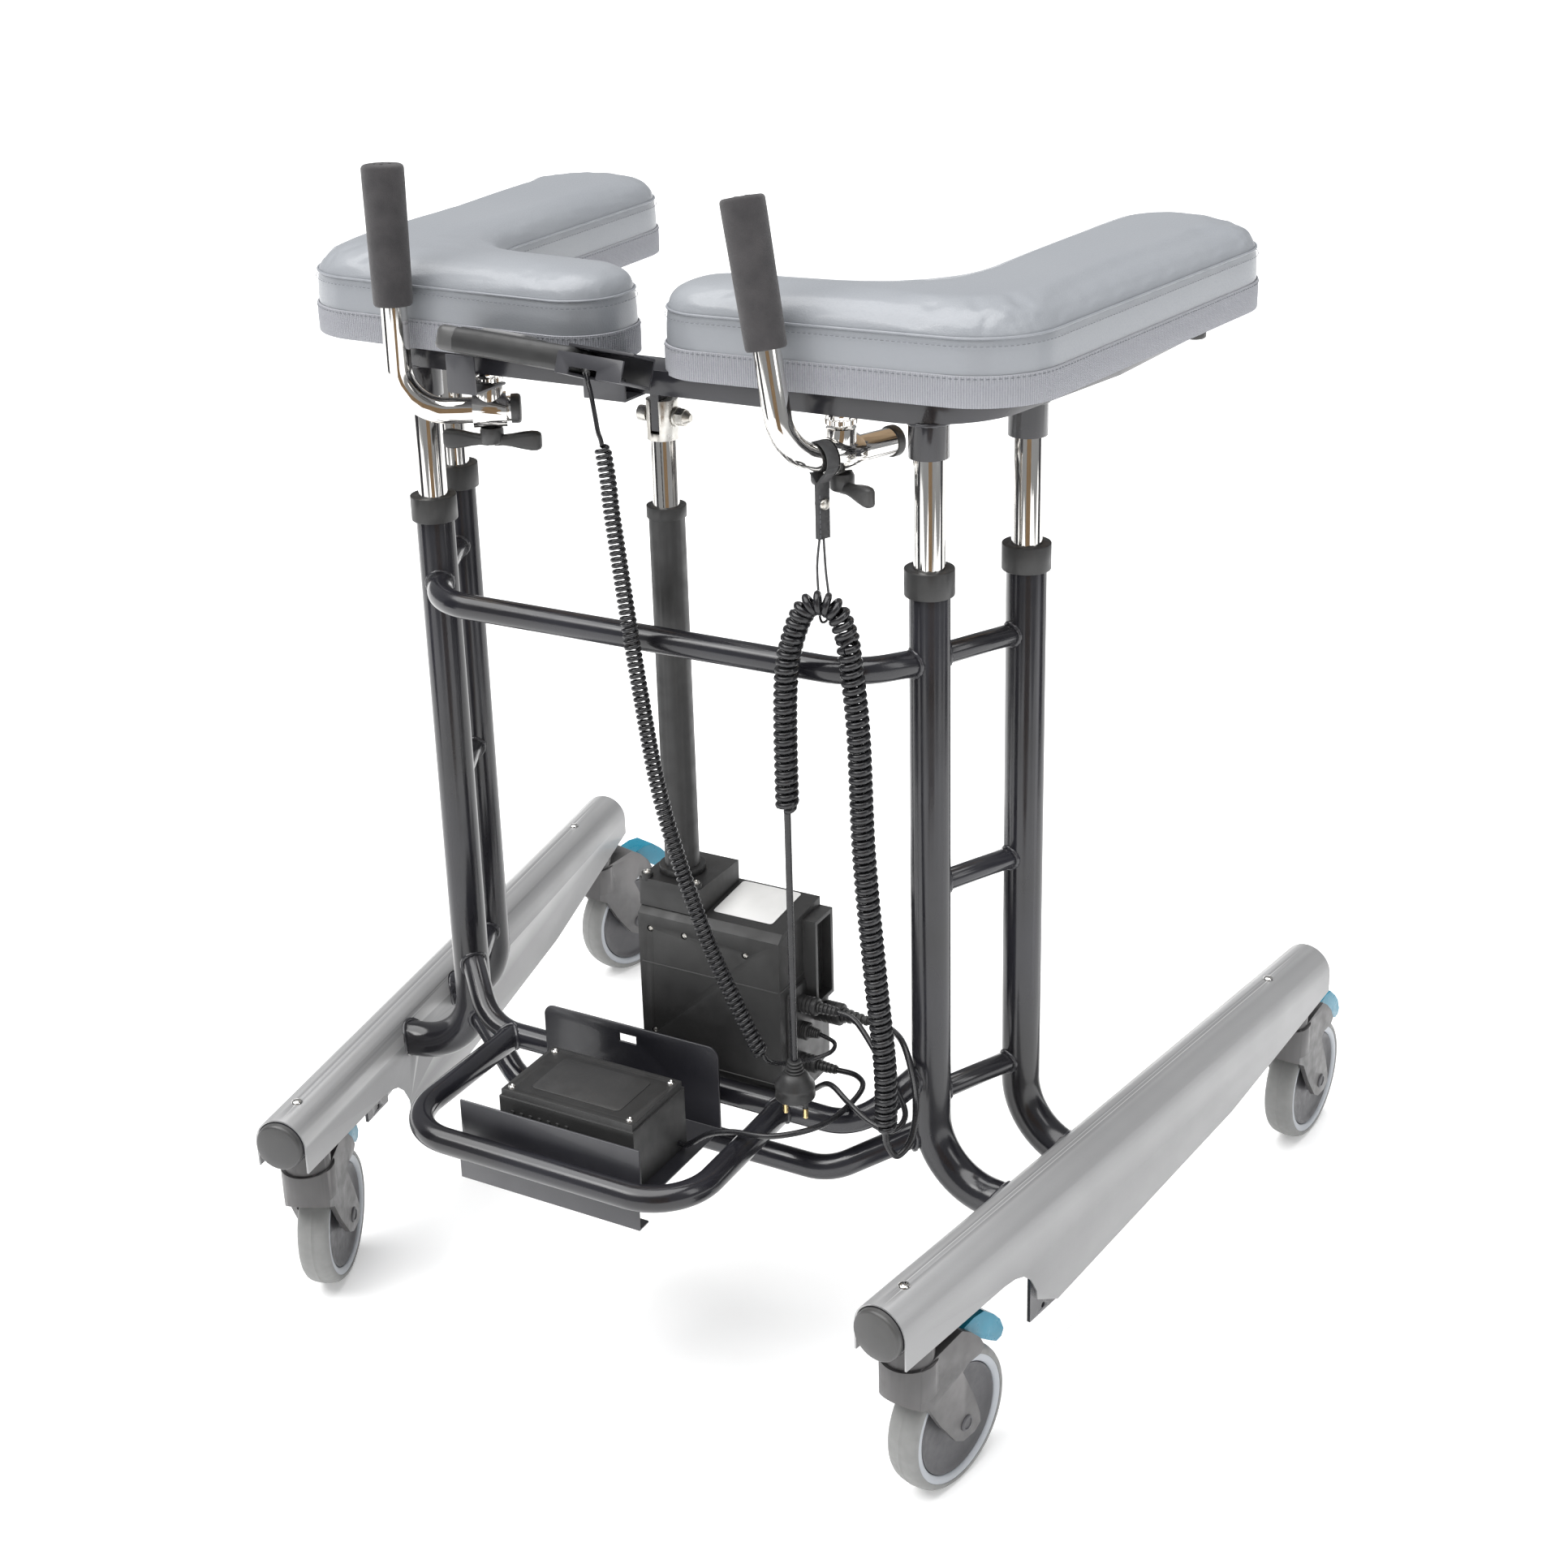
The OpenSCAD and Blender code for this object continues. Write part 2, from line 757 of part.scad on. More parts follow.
// A handle's own frame: X and Z square to the arm, Y along the arm towards its capped end
module on_stud(side, turn_angle) {
  translate([side * stud_x, stud_y, arm_z])
    rotate([0, 0, -turn_angle])
      children();
}

module clamp_sleeve() {
  difference() {
    union() {
      rotate([90, 0, 0])
        cylinder(r = 15, h = 28, center = true);
      cylinder(r = 12, h = 21.3);
    }
    rotate([90, 0, 0])
      cylinder(r = handle_r + gap, h = 40, center = true);
    translate([0, 0, 15.9])
      cylinder(r = 5 + gap, h = 10);
    translate([0, 0, -20])
      cylinder(r = 4 + gap, h = 20);
  }
}

module clamp_right() place() color([0.8, 0.8, 0.8]) on_stud(1, arm_turn_right) clamp_sleeve();

module clamp_left() place() color([0.8, 0.8, 0.8]) on_stud(-1, arm_turn_left) clamp_sleeve();

// Tube along the arm, bent upwards into the grip's core, with a cap on its other end
module handle_tube(reach, tail, lean) {
  rotate([0, -lean, 0])
    difference() {
      union() {
        translate([0, handle_bend - reach, 0])
          rotate([-90, 0, 0])
            cylinder(r = handle_r, h = tail + reach - handle_bend);
        translate([0, handle_bend - reach, handle_bend])
          rotate([90, 0, 90])
            rotate([0, 0, 180])
              rotate_extrude(angle = 90)
                translate([handle_bend, 0])
                  circle(r = handle_r);
        translate([0, -reach, handle_bend])
          cylinder(r = handle_r, h = handle_height - 4 - handle_bend);
      }
      translate([0, -reach, handle_height - 60])
        cylinder(r = 9, h = 80);
    }
  translate([0, tail, 0])
    rotate([-90, 0, 0])
      cylinder(r = 12, h = 3);
}

module handle_grip(reach, lean) {
  rotate([0, -lean, 0])
    translate([0, -reach, handle_height - grip_length])
      difference() {
        union() {
          cylinder(r1 = 16.2, r2 = 17.4, h = grip_length - 3);
          translate([0, 0, grip_length - 3])
            cylinder(r1 = 17.4, r2 = 15, h = 3);
        }
        translate([0, 0, -1])
          cylinder(r = handle_r, h = grip_length - 3);
        for (a = [0, 90, 180, 270])
          rotate([0, 0, a])
            translate([6, 0, grip_length - 3])
              cylinder(r = 1.2, h = 5);
      }
}

module handle_right() place() color([0.8, 0.8, 0.8])
  on_stud(1, arm_turn_right) handle_tube(arm_reach_right, arm_tail_right, grip_lean_right);

module handle_left() place() color([0.8, 0.8, 0.8])
  on_stud(-1, arm_turn_left) handle_tube(arm_reach_left, arm_tail_left, grip_lean_left);

module grip_right() place() color([0.22, 0.22, 0.23])
  on_stud(1, arm_turn_right) handle_grip(arm_reach_right, grip_lean_right);

module grip_left() place() color([0.22, 0.22, 0.23])
  on_stud(-1, arm_turn_left) handle_grip(arm_reach_left, grip_lean_left);

// Wing knob below a clamp, its threaded pin reaching up into the sleeve's wall
module wing_knob(turned) {
  translate([0, 0, -23.5]) {
    cylinder(r = 9.5, h = 8.4);
    cylinder(r = 4, h = 11.3);
    for (a = [turned, turned + 180])
      rotate([0, 0, a]) {
        translate([0, -7, -4])
          cube([32, 14, 8]);
        translate([32, 0, -6])
          cylinder(r = 11, h = 9);
      }
  }
}

module knob_right() place() color([0.1, 0.1, 0.11]) on_stud(1, 0) wing_knob(-30);

module knob_left() place() color([0.1, 0.1, 0.11]) on_stud(-1, 0) wing_knob(19);

// Strap looped over the right handle tube and riveted below it
module cord_strap() place() color([0.1, 0.1, 0.11])
  on_stud(1, arm_turn_right)
    translate([0, -20.5, 0]) {
      rotate([90, 0, 0])
        linear_extrude(11, center = true)
          difference() {
            union() {
              circle(r = 14.4);
              polygon([[-14.4, 0], [-14, -5], [-2.4, -19], [-2.4, -64], [2.4, -64], [2.4, -19], [14, -5],
                [14.4, 0]]);
            }
            circle(r = 13);
            polygon([[-13, 0], [-12.7, -4], [0, -18.7], [12.7, -4], [13, 0]]);
          }
      translate([-4.2, 0, -36])
        rotate([0, 90, 0])
          cylinder(r = 4, h = 8.4);
    }

module hanging_string() place() color([0.06, 0.06, 0.07]) {
  rod([155, -104, 757], [176, -134, 716], 1);
  rod([158, -103, 757], [185, -132, 716], 1);
}

// The handset lies in its own frame, tilted and rolled
module on_handset() translate(handset_centre) rotate([-20, 3, 0]) children();

module handset_body() place() color([0.2, 0.2, 0.21])
  on_handset()
    difference() {
      translate([-65, -21, -10])
        cube([130, 42, 20]);
      translate([-30, -12, 7])
        cube([44, 24, 5]);
    }

// Up and down rocker on the handset's top face
module handset_rocker() place() color([0.35, 0.36, 0.38])
  on_handset() {
    translate([-29, -11, 8])
      cube([42, 22, 3.4]);
    translate([-8, 0, 8])
      rotate([90, 0, 0])
        cylinder(r = 0.9, h = 20, center = true);
  }

// Sheet sleeve round the handset's end, its strip to the left stud and the plate under the bar
module handset_holder() place() color([0.1, 0.1, 0.11]) {
  on_handset()
    difference() {
      translate([55, -23.5, -12.5])
        cube([60, 47, 25]);
      translate([54, -21.2, -10.2])
        cube([62, 42.4, 20.4]);
      translate([54, -30, 5])
        cube([62, 20, 10]);
      translate([67, -30, -14])
        cube([26, 36, 8]);
    }
  translate([-180, -113, bar_underside - 11.8])
    cube([28, 2, 32]);
  difference() {
    translate([-180, -113, bar_underside - 11.8])
      cube([28, 42, 2]);
    translate([-stud_x, stud_y, 835])
      cylinder(r = 5.2, h = 14);
    translate([-stud_x - 5.2, stud_y, 835])
      cube([10.4, 20, 14]);
  }
  translate([-45, -114, bar_underside - 2])
    cube([39, 54, 2]);
  translate([-45, -114, bar_underside - 2])
    cube([39, 2, 18]);
}

// Caster parts in their own frame: the stem on Z, the wheel trailing along Y
fork_side = [[-24, 118], [-24, 148], [0, 149], [42, 155], [54, 147], [66, 135], [72, 124], [67, 119],
  [50, 119], [43, 115], [50, 100], [58, 84], [66, 62], [67, 52], [59, 47], [44, 47], [34, 53], [14, 80],
  [0, 104]];

module caster_fork() {
  difference() {
    union() {
      intersection() {
        rotate([90, 0, 90])
          linear_extrude(42, center = true)
            polygon(fork_side);
        union() {
          cylinder(r = 24, h = 200);
          translate([-30, 0, 0])
            cube([60, 100, 200]);
        }
      }
      translate([0, 0, 118])
        cylinder(r = 24, h = 30);
      translate([0, 0, 148])
        cylinder(r = 21, h = 20);
    }
    translate([0, trail, wheel_r])
      rotate([0, 90, 0])
        cylinder(r = wheel_r + 3, h = wheel_width + 3, center = true);
    translate([-13.6, 50, 110])
      cube([27.2, 60, 60]);
    translate([0, 0, 143.5])
      cylinder(r = 6, h = 40);
  }
  translate([0, trail, wheel_r])
    rotate([0, 90, 0])
      cylinder(r = 4, h = 42, center = true);
  translate([0, 62, 136])
    rotate([0, 90, 0])
      cylinder(r = 2.5, h = 30, center = true);
}

module caster_wheel() {
  half = wheel_width / 2;
  translate([0, trail, wheel_r])
    rotate([0, 90, 0])
      rotate_extrude($fn = 72)
        polygon([[4 + gap, -half + 1], [12, -half + 1], [15, -half + 5], [46, -half + 5], [50, -half + 2],
          [54, -half], [58, -half], [61, -half + 4], [wheel_r, -4], [wheel_r, 4], [61, half - 4], [58, half],
          [54, half], [50, half - 2], [46, half - 5], [15, half - 5], [12, half - 1], [4 + gap, half - 1]]);
}

module brake_pedal() {
  difference() {
    rotate([90, 0, 90])
      linear_extrude(26, center = true)
        polygon([[52, 138], [52, 146], [68, 149], [82, 147.5], [95, 137], [104, 127], [109, 115],
          [106, 109], [99, 108], [90, 114], [80, 121.5], [72, 127], [64, 130]]);
    translate([0, 62, 136])
      rotate([0, 90, 0])
        cylinder(r = 2.5 + gap, h = 40, center = true);
  }
}

// Position of a caster's stem: end 0 is the front, end 1 the rear
module at_stem(side, end, yaw) {
  p = leg_start + stem_along[end] * [sin(leg_angle), cos(leg_angle)];
  translate([side * p[0], p[1], 0])
    rotate([0, 0, yaw])
      children();
}

module fork_front_left() place() color([0.37, 0.36, 0.37]) at_stem(-1, 0, yaw_front_left) caster_fork();
module fork_front_right() place() color([0.37, 0.36, 0.37]) at_stem(1, 0, yaw_front_right) caster_fork();
module fork_rear_left() place() color([0.37, 0.36, 0.37]) at_stem(-1, 1, yaw_rear_left) caster_fork();
module fork_rear_right() place() color([0.37, 0.36, 0.37]) at_stem(1, 1, yaw_rear_right) caster_fork();

module wheel_front_left() place() color([0.5, 0.5, 0.5]) at_stem(-1, 0, yaw_front_left) caster_wheel();
module wheel_front_right() place() color([0.5, 0.5, 0.5]) at_stem(1, 0, yaw_front_right) caster_wheel();
module wheel_rear_left() place() color([0.5, 0.5, 0.5]) at_stem(-1, 1, yaw_rear_left) caster_wheel();
module wheel_rear_right() place() color([0.5, 0.5, 0.5]) at_stem(1, 1, yaw_rear_right) caster_wheel();

module pedal_front_left() place() color([0.2, 0.6, 0.75]) at_stem(-1, 0, yaw_front_left) brake_pedal();
module pedal_front_right() place() color([0.2, 0.6, 0.75]) at_stem(1, 0, yaw_front_right) brake_pedal();
module pedal_rear_left() place() color([0.2, 0.6, 0.75]) at_stem(-1, 1, yaw_rear_left) brake_pedal();
module pedal_rear_right() place() color([0.2, 0.6, 0.75]) at_stem(1, 1, yaw_rear_right) brake_pedal();

front_columns();
rear_columns();
side_rungs();
upper_crossbar();
lower_crossbars();
tray_hoop();
leg_tubes();
leg_covers();
leg_end_caps();
cover_rivets();
column_collars();
battery_tray();
battery_box();
battery_cells();
actuator_housing();
actuator_tube();
actuator_motor();
spindle();
cord_plugs();
caster_stems();
handset_cord();
mains_cord_feed();
battery_lead();
motor_lead();
lift_tubes();
armrest_bar();
cushion_boards();
cushion_left();
cushion_right();
actuator_rod();
rod_fork();
fork_bolt();
clamp_studs();
handset_body();
handset_holder();
handset_rocker();
mains_cord_hung();
mains_plug();
hanging_string();
clamp_left();
clamp_right();
handle_left();
handle_right();
grip_left();
grip_right();
knob_left();
knob_right();
cord_strap();
fork_front_left();
fork_front_right();
fork_rear_left();
fork_rear_right();
wheel_front_left();
wheel_front_right();
wheel_rear_left();
wheel_rear_right();
pedal_front_left();
pedal_front_right();
pedal_rear_left();
pedal_rear_right();
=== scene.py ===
"""Looks of an electric forearm-support walker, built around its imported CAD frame.

Lengths are in metres, in the frame's own axes: +Z up, +X sideways, -Y towards the walker's front.
"""

import json
import math

import bmesh
import bpy
import numpy as np
from mathutils import Matrix, Vector


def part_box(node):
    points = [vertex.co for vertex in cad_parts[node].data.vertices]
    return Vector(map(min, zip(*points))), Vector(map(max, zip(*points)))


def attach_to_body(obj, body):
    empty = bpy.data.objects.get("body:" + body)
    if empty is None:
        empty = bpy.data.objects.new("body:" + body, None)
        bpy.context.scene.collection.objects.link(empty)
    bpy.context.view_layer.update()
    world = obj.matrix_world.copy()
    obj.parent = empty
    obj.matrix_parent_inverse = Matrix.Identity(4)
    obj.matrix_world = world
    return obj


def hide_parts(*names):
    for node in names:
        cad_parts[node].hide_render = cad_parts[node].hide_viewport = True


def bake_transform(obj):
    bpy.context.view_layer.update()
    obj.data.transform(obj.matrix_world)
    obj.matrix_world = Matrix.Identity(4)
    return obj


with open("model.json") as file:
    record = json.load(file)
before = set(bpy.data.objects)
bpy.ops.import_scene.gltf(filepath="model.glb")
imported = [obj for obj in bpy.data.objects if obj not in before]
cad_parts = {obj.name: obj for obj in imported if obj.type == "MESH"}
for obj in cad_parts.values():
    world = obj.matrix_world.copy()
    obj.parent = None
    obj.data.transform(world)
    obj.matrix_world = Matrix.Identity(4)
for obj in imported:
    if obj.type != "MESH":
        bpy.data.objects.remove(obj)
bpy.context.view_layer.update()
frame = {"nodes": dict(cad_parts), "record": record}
nodes = frame["nodes"]
bodies = frame["record"]["behaviour"]["bodies"]
body_of = {node: body for body, members in bodies.items() for node in members}
scene = bpy.context.scene


def layout(x, y, z):
    """A point of the CAD layout, which is drawn in millimetres from a line 100 mm in front of the middle."""
    return Vector((x, y - 100, z)) / 1000


# ---------------------------------------------------------------- camera, light and floor


def add_camera():
    azimuth, elevation, roll = (math.radians(a) for a in (28.13, 20.35, -1.09))
    back = Vector((math.sin(azimuth) * math.cos(elevation), -math.cos(azimuth) * math.cos(elevation),
                   math.sin(elevation)))
    level = Vector((math.cos(azimuth), math.sin(azimuth), 0))
    over = back.cross(level)
    right = math.cos(roll) * level + math.sin(roll) * over
    up = math.cos(roll) * over - math.sin(roll) * level
    data = bpy.data.cameras.new("camera")
    data.lens = 52.91
    data.shift_x = -0.0329
    data.shift_y = -0.0938
    data.clip_end = 60
    camera = bpy.data.objects.new("camera", data)
    place = Matrix((right, up, back)).transposed().to_4x4()
    place.translation = (0.9708, -1.6970, 1.3106)
    camera.matrix_world = place
    scene.collection.objects.link(camera)
    scene.camera = camera


def add_soft_light(name, place, aim, size, power, colour=(1, 1, 1)):
    data = bpy.data.lights.new(name, "AREA")
    data.shape = "RECTANGLE"
    data.size, data.size_y = size
    data.energy = power
    data.color = colour
    light = bpy.data.objects.new(name, data)
    light.location = place
    light.rotation_euler = (Vector(aim) - Vector(place)).to_track_quat("-Z", "Y").to_euler()
    light.visible_camera = False
    scene.collection.objects.link(light)


def add_studio():
    world = bpy.data.worlds.new("studio")
    scene.world = world
    world.use_nodes = True
    backdrop = world.node_tree.nodes["Background"]
    backdrop.inputs["Color"].default_value = (0.97, 0.985, 1.0, 1)
    backdrop.inputs["Strength"].default_value = 0.32
    middle = (0, 0, 0.6)
    add_soft_light("key_light", (-1.5, -2.4, 3.3), middle, (1.7, 1.2), 26, (1, 0.99, 0.97))
    add_soft_light("side_light", (3.0, -0.6, 2.4), middle, (0.9, 2.2), 18)
    sky = bpy.data.lights.new("ceiling", "SUN")
    sky.energy = 4.3
    sky.angle = math.radians(70)
    ceiling = bpy.data.objects.new("ceiling", sky)
    ceiling.rotation_euler = (math.radians(8), math.radians(-12), 0)
    scene.collection.objects.link(ceiling)
    scene.view_settings.view_transform = "Standard"


def add_floor():
    size = 30
    corners = [(-size, -size, 0), (size, -size, 0), (size, size, 0), (-size, size, 0)]
    floor = add_mesh("studio_floor", corners, [(0, 1, 2, 3)], floor_paper())


def add_flag(name, azimuth, distance, width, colour):
    """A standing card that only reflections see: it draws the dark bands of a studio on the chrome."""
    a = math.radians(azimuth)
    out = Vector((math.sin(a), -math.cos(a), 0))
    side = Vector((math.cos(a), math.sin(a), 0)) * width / 2
    foot = out * distance
    tall = Vector((0, 0, 2.6))
    corners = [foot - side, foot + side, foot + side + tall, foot - side + tall]
    flag = add_mesh(name, corners, [(0, 1, 2, 3)], flag_card(name, colour))
    flag.visible_camera = False
    flag.visible_diffuse = False
    flag.visible_shadow = False


# ---------------------------------------------------------------- materials


class Surface:
    """A material and the short forms that its nodes are written in."""

    def __init__(self, name, colour, roughness, metallic=0.0, coat=0.0, specular=0.5, sheen=0.0):
        self.material = bpy.data.materials.new(name)
        self.material.use_nodes = True
        self.tree = self.material.node_tree
        self.shader = self.tree.nodes["Principled BSDF"]
        self.colour = colour
        self.roughness = roughness
        sockets = self.shader.inputs
        sockets["Base Color"].default_value = (*colour, 1)
        sockets["Roughness"].default_value = roughness
        sockets["Metallic"].default_value = metallic
        sockets["Coat Weight"].default_value = coat
        sockets["Coat Roughness"].default_value = 0.12
        sockets["Specular IOR Level"].default_value = specular
        sockets["Sheen Weight"].default_value = sheen
        self.place = self.node("ShaderNodeTexCoord").outputs["Object"]
        self.height = None

    def node(self, kind, **values):
        made = self.tree.nodes.new(kind)
        for key, value in values.items():
            setattr(made, key, value)
        return made

    def link(self, source, target):
        self.tree.links.new(source, target)

    def noise(self, scale, detail=3.0, stretch=None):
        made = self.node("ShaderNodeTexNoise")
        made.inputs["Scale"].default_value = scale
        made.inputs["Detail"].default_value = detail
        source = self.place
        if stretch:
            mapping = self.node("ShaderNodeMapping")
            mapping.inputs["Scale"].default_value = stretch
            self.link(self.place, mapping.inputs["Vector"])
            source = mapping.outputs["Vector"]
        self.link(source, made.inputs["Vector"])
        return made.outputs["Fac"]

    def spread(self, value, low, high, start=0.3, stop=0.7):
        made = self.node("ShaderNodeMapRange")
        made.inputs["From Min"].default_value = start
        made.inputs["From Max"].default_value = stop
        made.inputs["To Min"].default_value = low
        made.inputs["To Max"].default_value = high
        self.link(value, made.inputs["Value"])
        return made.outputs["Result"]

    def tint(self, value, other, amount=1.0):
        """Mixes the colour so far towards other where value is high."""
        return self.mixed(self.spread(value, 0.0, amount), other)

    def vary_roughness(self, value, low, high):
        self.link(self.spread(value, low, high), self.shader.inputs["Roughness"])
        return self

    def mixed(self, factor, other):
        """Mixes the colour so far with another one."""
        mix = self.node("ShaderNodeMix", data_type="RGBA")
        self.link(factor, mix.inputs["Factor"])
        before = self.shader.inputs["Base Color"]
        if before.is_linked:
            self.link(before.links[0].from_socket, mix.inputs["A"])
        else:
            mix.inputs["A"].default_value = before.default_value[:]
        mix.inputs["B"].default_value = (*other, 1)
        self.link(mix.outputs["Result"], before)
        return self

    def bump(self, value, distance, strength=1.0):
        made = self.node("ShaderNodeBump")
        made.inputs["Distance"].default_value = distance
        made.inputs["Strength"].default_value = strength
        self.link(value, made.inputs["Height"])
        if self.height is not None:
            self.link(self.height, made.inputs["Normal"])
        self.height = made.outputs["Normal"]
        self.link(self.height, self.shader.inputs["Normal"])
        return self

    def edge_wear_and_highlight(self, other, amount=0.5):
        """Lightens convex edges: wear where paint and moulding catch it, and a painted highlight along the
        edges.
        """
        edge = self.node("ShaderNodeNewGeometry").outputs["Pointiness"]
        return self.mixed(self.spread(edge, 0.0, amount, 0.52, 0.6), other)


def floor_paper():
    paper = Surface("floor_paper", (0.93, 0.93, 0.93), 0.9, specular=0.1)
    paper.tint(paper.noise(0.8), (0.95, 0.95, 0.95))
    paper.shader.inputs["Emission Color"].default_value = (1, 1, 1, 1)
    paper.shader.inputs["Emission Strength"].default_value = 0.26
    return paper.material


def flag_card(name, colour):
    card = Surface(name + "_card", colour, 0.9, specular=0.0)
    card.tint(card.noise(1.5), tuple(0.8 * c for c in colour))
    return card.material


def frame_paint():
    """Gloss black-grey powder coat with a faint orange peel."""
    paint = Surface("frame_paint", (0.010, 0.0095, 0.011), 0.2, coat=0.15)
    paint.tint(paint.noise(9), (0.02, 0.02, 0.026))
    paint.vary_roughness(paint.noise(30), 0.14, 0.26)
    paint.bump(paint.noise(700, 2), 0.00012, 0.35)
    # lighter convex edges: wear and a painted edge highlight
    paint.edge_wear_and_highlight((0.09, 0.09, 0.1), 0.4)
    return paint.material


def sheet_paint():
    """Satin black powder coat on bent sheet."""
    paint = Surface("sheet_paint", (0.013, 0.013, 0.017), 0.36, coat=0.25)
    paint.tint(paint.noise(9), (0.022, 0.022, 0.027))
    paint.vary_roughness(paint.noise(40), 0.34, 0.48)
    paint.bump(paint.noise(900, 2), 0.00012, 0.5)
    # lighter convex edges: wear and a painted edge highlight
    paint.edge_wear_and_highlight((0.1, 0.1, 0.11), 0.5)
    return paint.material


def piping_vinyl():
    vinyl = Surface("piping_vinyl", (0.25, 0.262, 0.285), 0.46, coat=0.05)
    vinyl.tint(vinyl.noise(60), (0.28, 0.292, 0.315))
    vinyl.vary_roughness(vinyl.noise(200), 0.34, 0.48)
    vinyl.bump(vinyl.noise(900, 2), 0.0001, 0.4)
    return vinyl.material


def cover_paint():
    """Satin silver-grey lacquer over steel sheet."""
    paint = Surface("cover_paint", (0.2, 0.2, 0.205), 0.44, metallic=0.2, coat=0.12)
    paint.tint(paint.noise(6), (0.225, 0.225, 0.23))
    paint.tint(paint.noise(2600, 1), (0.29, 0.29, 0.29), 0.35)
    paint.vary_roughness(paint.noise(18), 0.38, 0.5)
    paint.bump(paint.noise(900, 2), 0.00008, 0.3)
    # lighter convex edges: wear and a painted edge highlight
    paint.edge_wear_and_highlight((0.6, 0.6, 0.6), 0.6)
    return paint.material


def chrome_plate():
    plate = Surface("chrome_plate", (0.8, 0.79, 0.77), 0.06, metallic=1.0)
    plate.tint(plate.noise(14), (0.74, 0.72, 0.69))
    plate.vary_roughness(plate.noise(40, 4, (1, 1, 0.1)), 0.035, 0.12)
    plate.bump(plate.noise(300, 2, (1, 1, 0.05)), 0.00003, 0.2)
    return plate.material


def zinc_steel():
    steel = Surface("zinc_steel", (0.62, 0.61, 0.58), 0.32, metallic=1.0)
    steel.tint(steel.noise(60), (0.5, 0.48, 0.44))
    steel.vary_roughness(steel.noise(180), 0.22, 0.45)
    steel.bump(steel.noise(1200, 2), 0.00006, 0.4)
    return steel.material


def brass_pin():
    brass = Surface("brass_pin", (0.78, 0.6, 0.3), 0.2, metallic=1.0)
    brass.tint(brass.noise(120), (0.66, 0.5, 0.25))
    brass.vary_roughness(brass.noise(300), 0.15, 0.3)
    return brass.material


def moulded_black(name="moulded_black", shade=0.014, roughness=0.46, grain=1400):
    """Black moulding with a fine spark-eroded grain."""
    plastic = Surface(name, (shade, shade, shade * 1.04), roughness)
    plastic.tint(plastic.noise(11), (shade * 1.5, shade * 1.48, shade * 1.45))
    plastic.vary_roughness(plastic.noise(70), roughness - 0.08, roughness + 0.1)
    plastic.bump(plastic.noise(grain, 2), 0.00012, 0.5)
    # lighter convex edges: wear and a painted edge highlight
    plastic.edge_wear_and_highlight((shade * 4, shade * 4, shade * 4), 0.45)
    return plastic.material


def cord_jacket():
    jacket = Surface("cord_jacket", (0.009, 0.009, 0.011), 0.24)
    jacket.tint(jacket.noise(60), (0.018, 0.018, 0.02))
    jacket.vary_roughness(jacket.noise(140), 0.18, 0.34)
    jacket.bump(jacket.noise(1500, 2), 0.00005, 0.4)
    return jacket.material


def woven_strap():
    """Black strap with a dull leathery face."""
    strap = Surface("woven_strap", (0.022, 0.022, 0.024), 0.6, sheen=0.15)
    strap.tint(strap.noise(80), (0.045, 0.045, 0.047))
    strap.vary_roughness(strap.noise(200), 0.5, 0.75)
    strap.bump(strap.noise(2200, 3), 0.00015, 0.6)
    return strap.material


def caster_moulding():
    plastic = Surface("caster_moulding", (0.066, 0.064, 0.065), 0.42)
    plastic.tint(plastic.noise(20), (0.085, 0.082, 0.082))
    plastic.vary_roughness(plastic.noise(90), 0.34, 0.52)
    plastic.bump(plastic.noise(1600, 2), 0.0001, 0.45)
    # lighter convex edges: wear and a painted edge highlight
    plastic.edge_wear_and_highlight((0.24, 0.23, 0.23), 0.5)
    return plastic.material


def pedal_moulding():
    plastic = Surface("pedal_moulding", (0.003, 0.165, 0.26), 0.36)
    plastic.tint(plastic.noise(35), (0.006, 0.205, 0.31))
    plastic.vary_roughness(plastic.noise(120), 0.25, 0.42)
    plastic.bump(plastic.noise(1500, 2), 0.00008, 0.4)
    # lighter convex edges: wear and a painted edge highlight
    plastic.edge_wear_and_highlight((0.02, 0.33, 0.46), 0.4)
    return plastic.material


def tyre_rubber():
    rubber = Surface("tyre_rubber", (0.215, 0.217, 0.212), 0.5)
    rubber.tint(rubber.noise(25), (0.25, 0.252, 0.246))
    rubber.tint(rubber.noise(120), (0.18, 0.18, 0.178), 0.4)
    rubber.vary_roughness(rubber.noise(160), 0.45, 0.7)
    rubber.bump(rubber.noise(1200, 3), 0.0001, 0.5)
    return rubber.material


def rim_ring():
    ring = Surface("rim_ring", (0.4, 0.42, 0.45), 0.35)
    ring.tint(ring.noise(40), (0.38, 0.4, 0.43))
    ring.bump(ring.noise(900, 2), 0.00006, 0.4)
    return ring.material


def wheel_disc():
    disc = Surface("wheel_disc", (0.056, 0.055, 0.06), 0.4)
    disc.tint(disc.noise(30), (0.07, 0.069, 0.075))
    disc.vary_roughness(disc.noise(140), 0.32, 0.5)
    disc.bump(disc.noise(1500, 2), 0.00008, 0.5)
    return disc.material


def grip_foam():
    """Closed-cell foam: dull, with small pores."""
    foam = Surface("grip_foam", (0.04, 0.038, 0.04), 0.85, specular=0.25, sheen=0.2)
    foam.tint(foam.noise(50), (0.062, 0.058, 0.06))
    cells = foam.node("ShaderNodeTexVoronoi")
    cells.inputs["Scale"].default_value = 1500
    foam.link(foam.place, cells.inputs["Vector"])
    foam.bump(cells.outputs["Distance"], 0.00035, 0.7)
    foam.bump(foam.noise(500, 3), 0.0002, 0.4)
    return foam.material


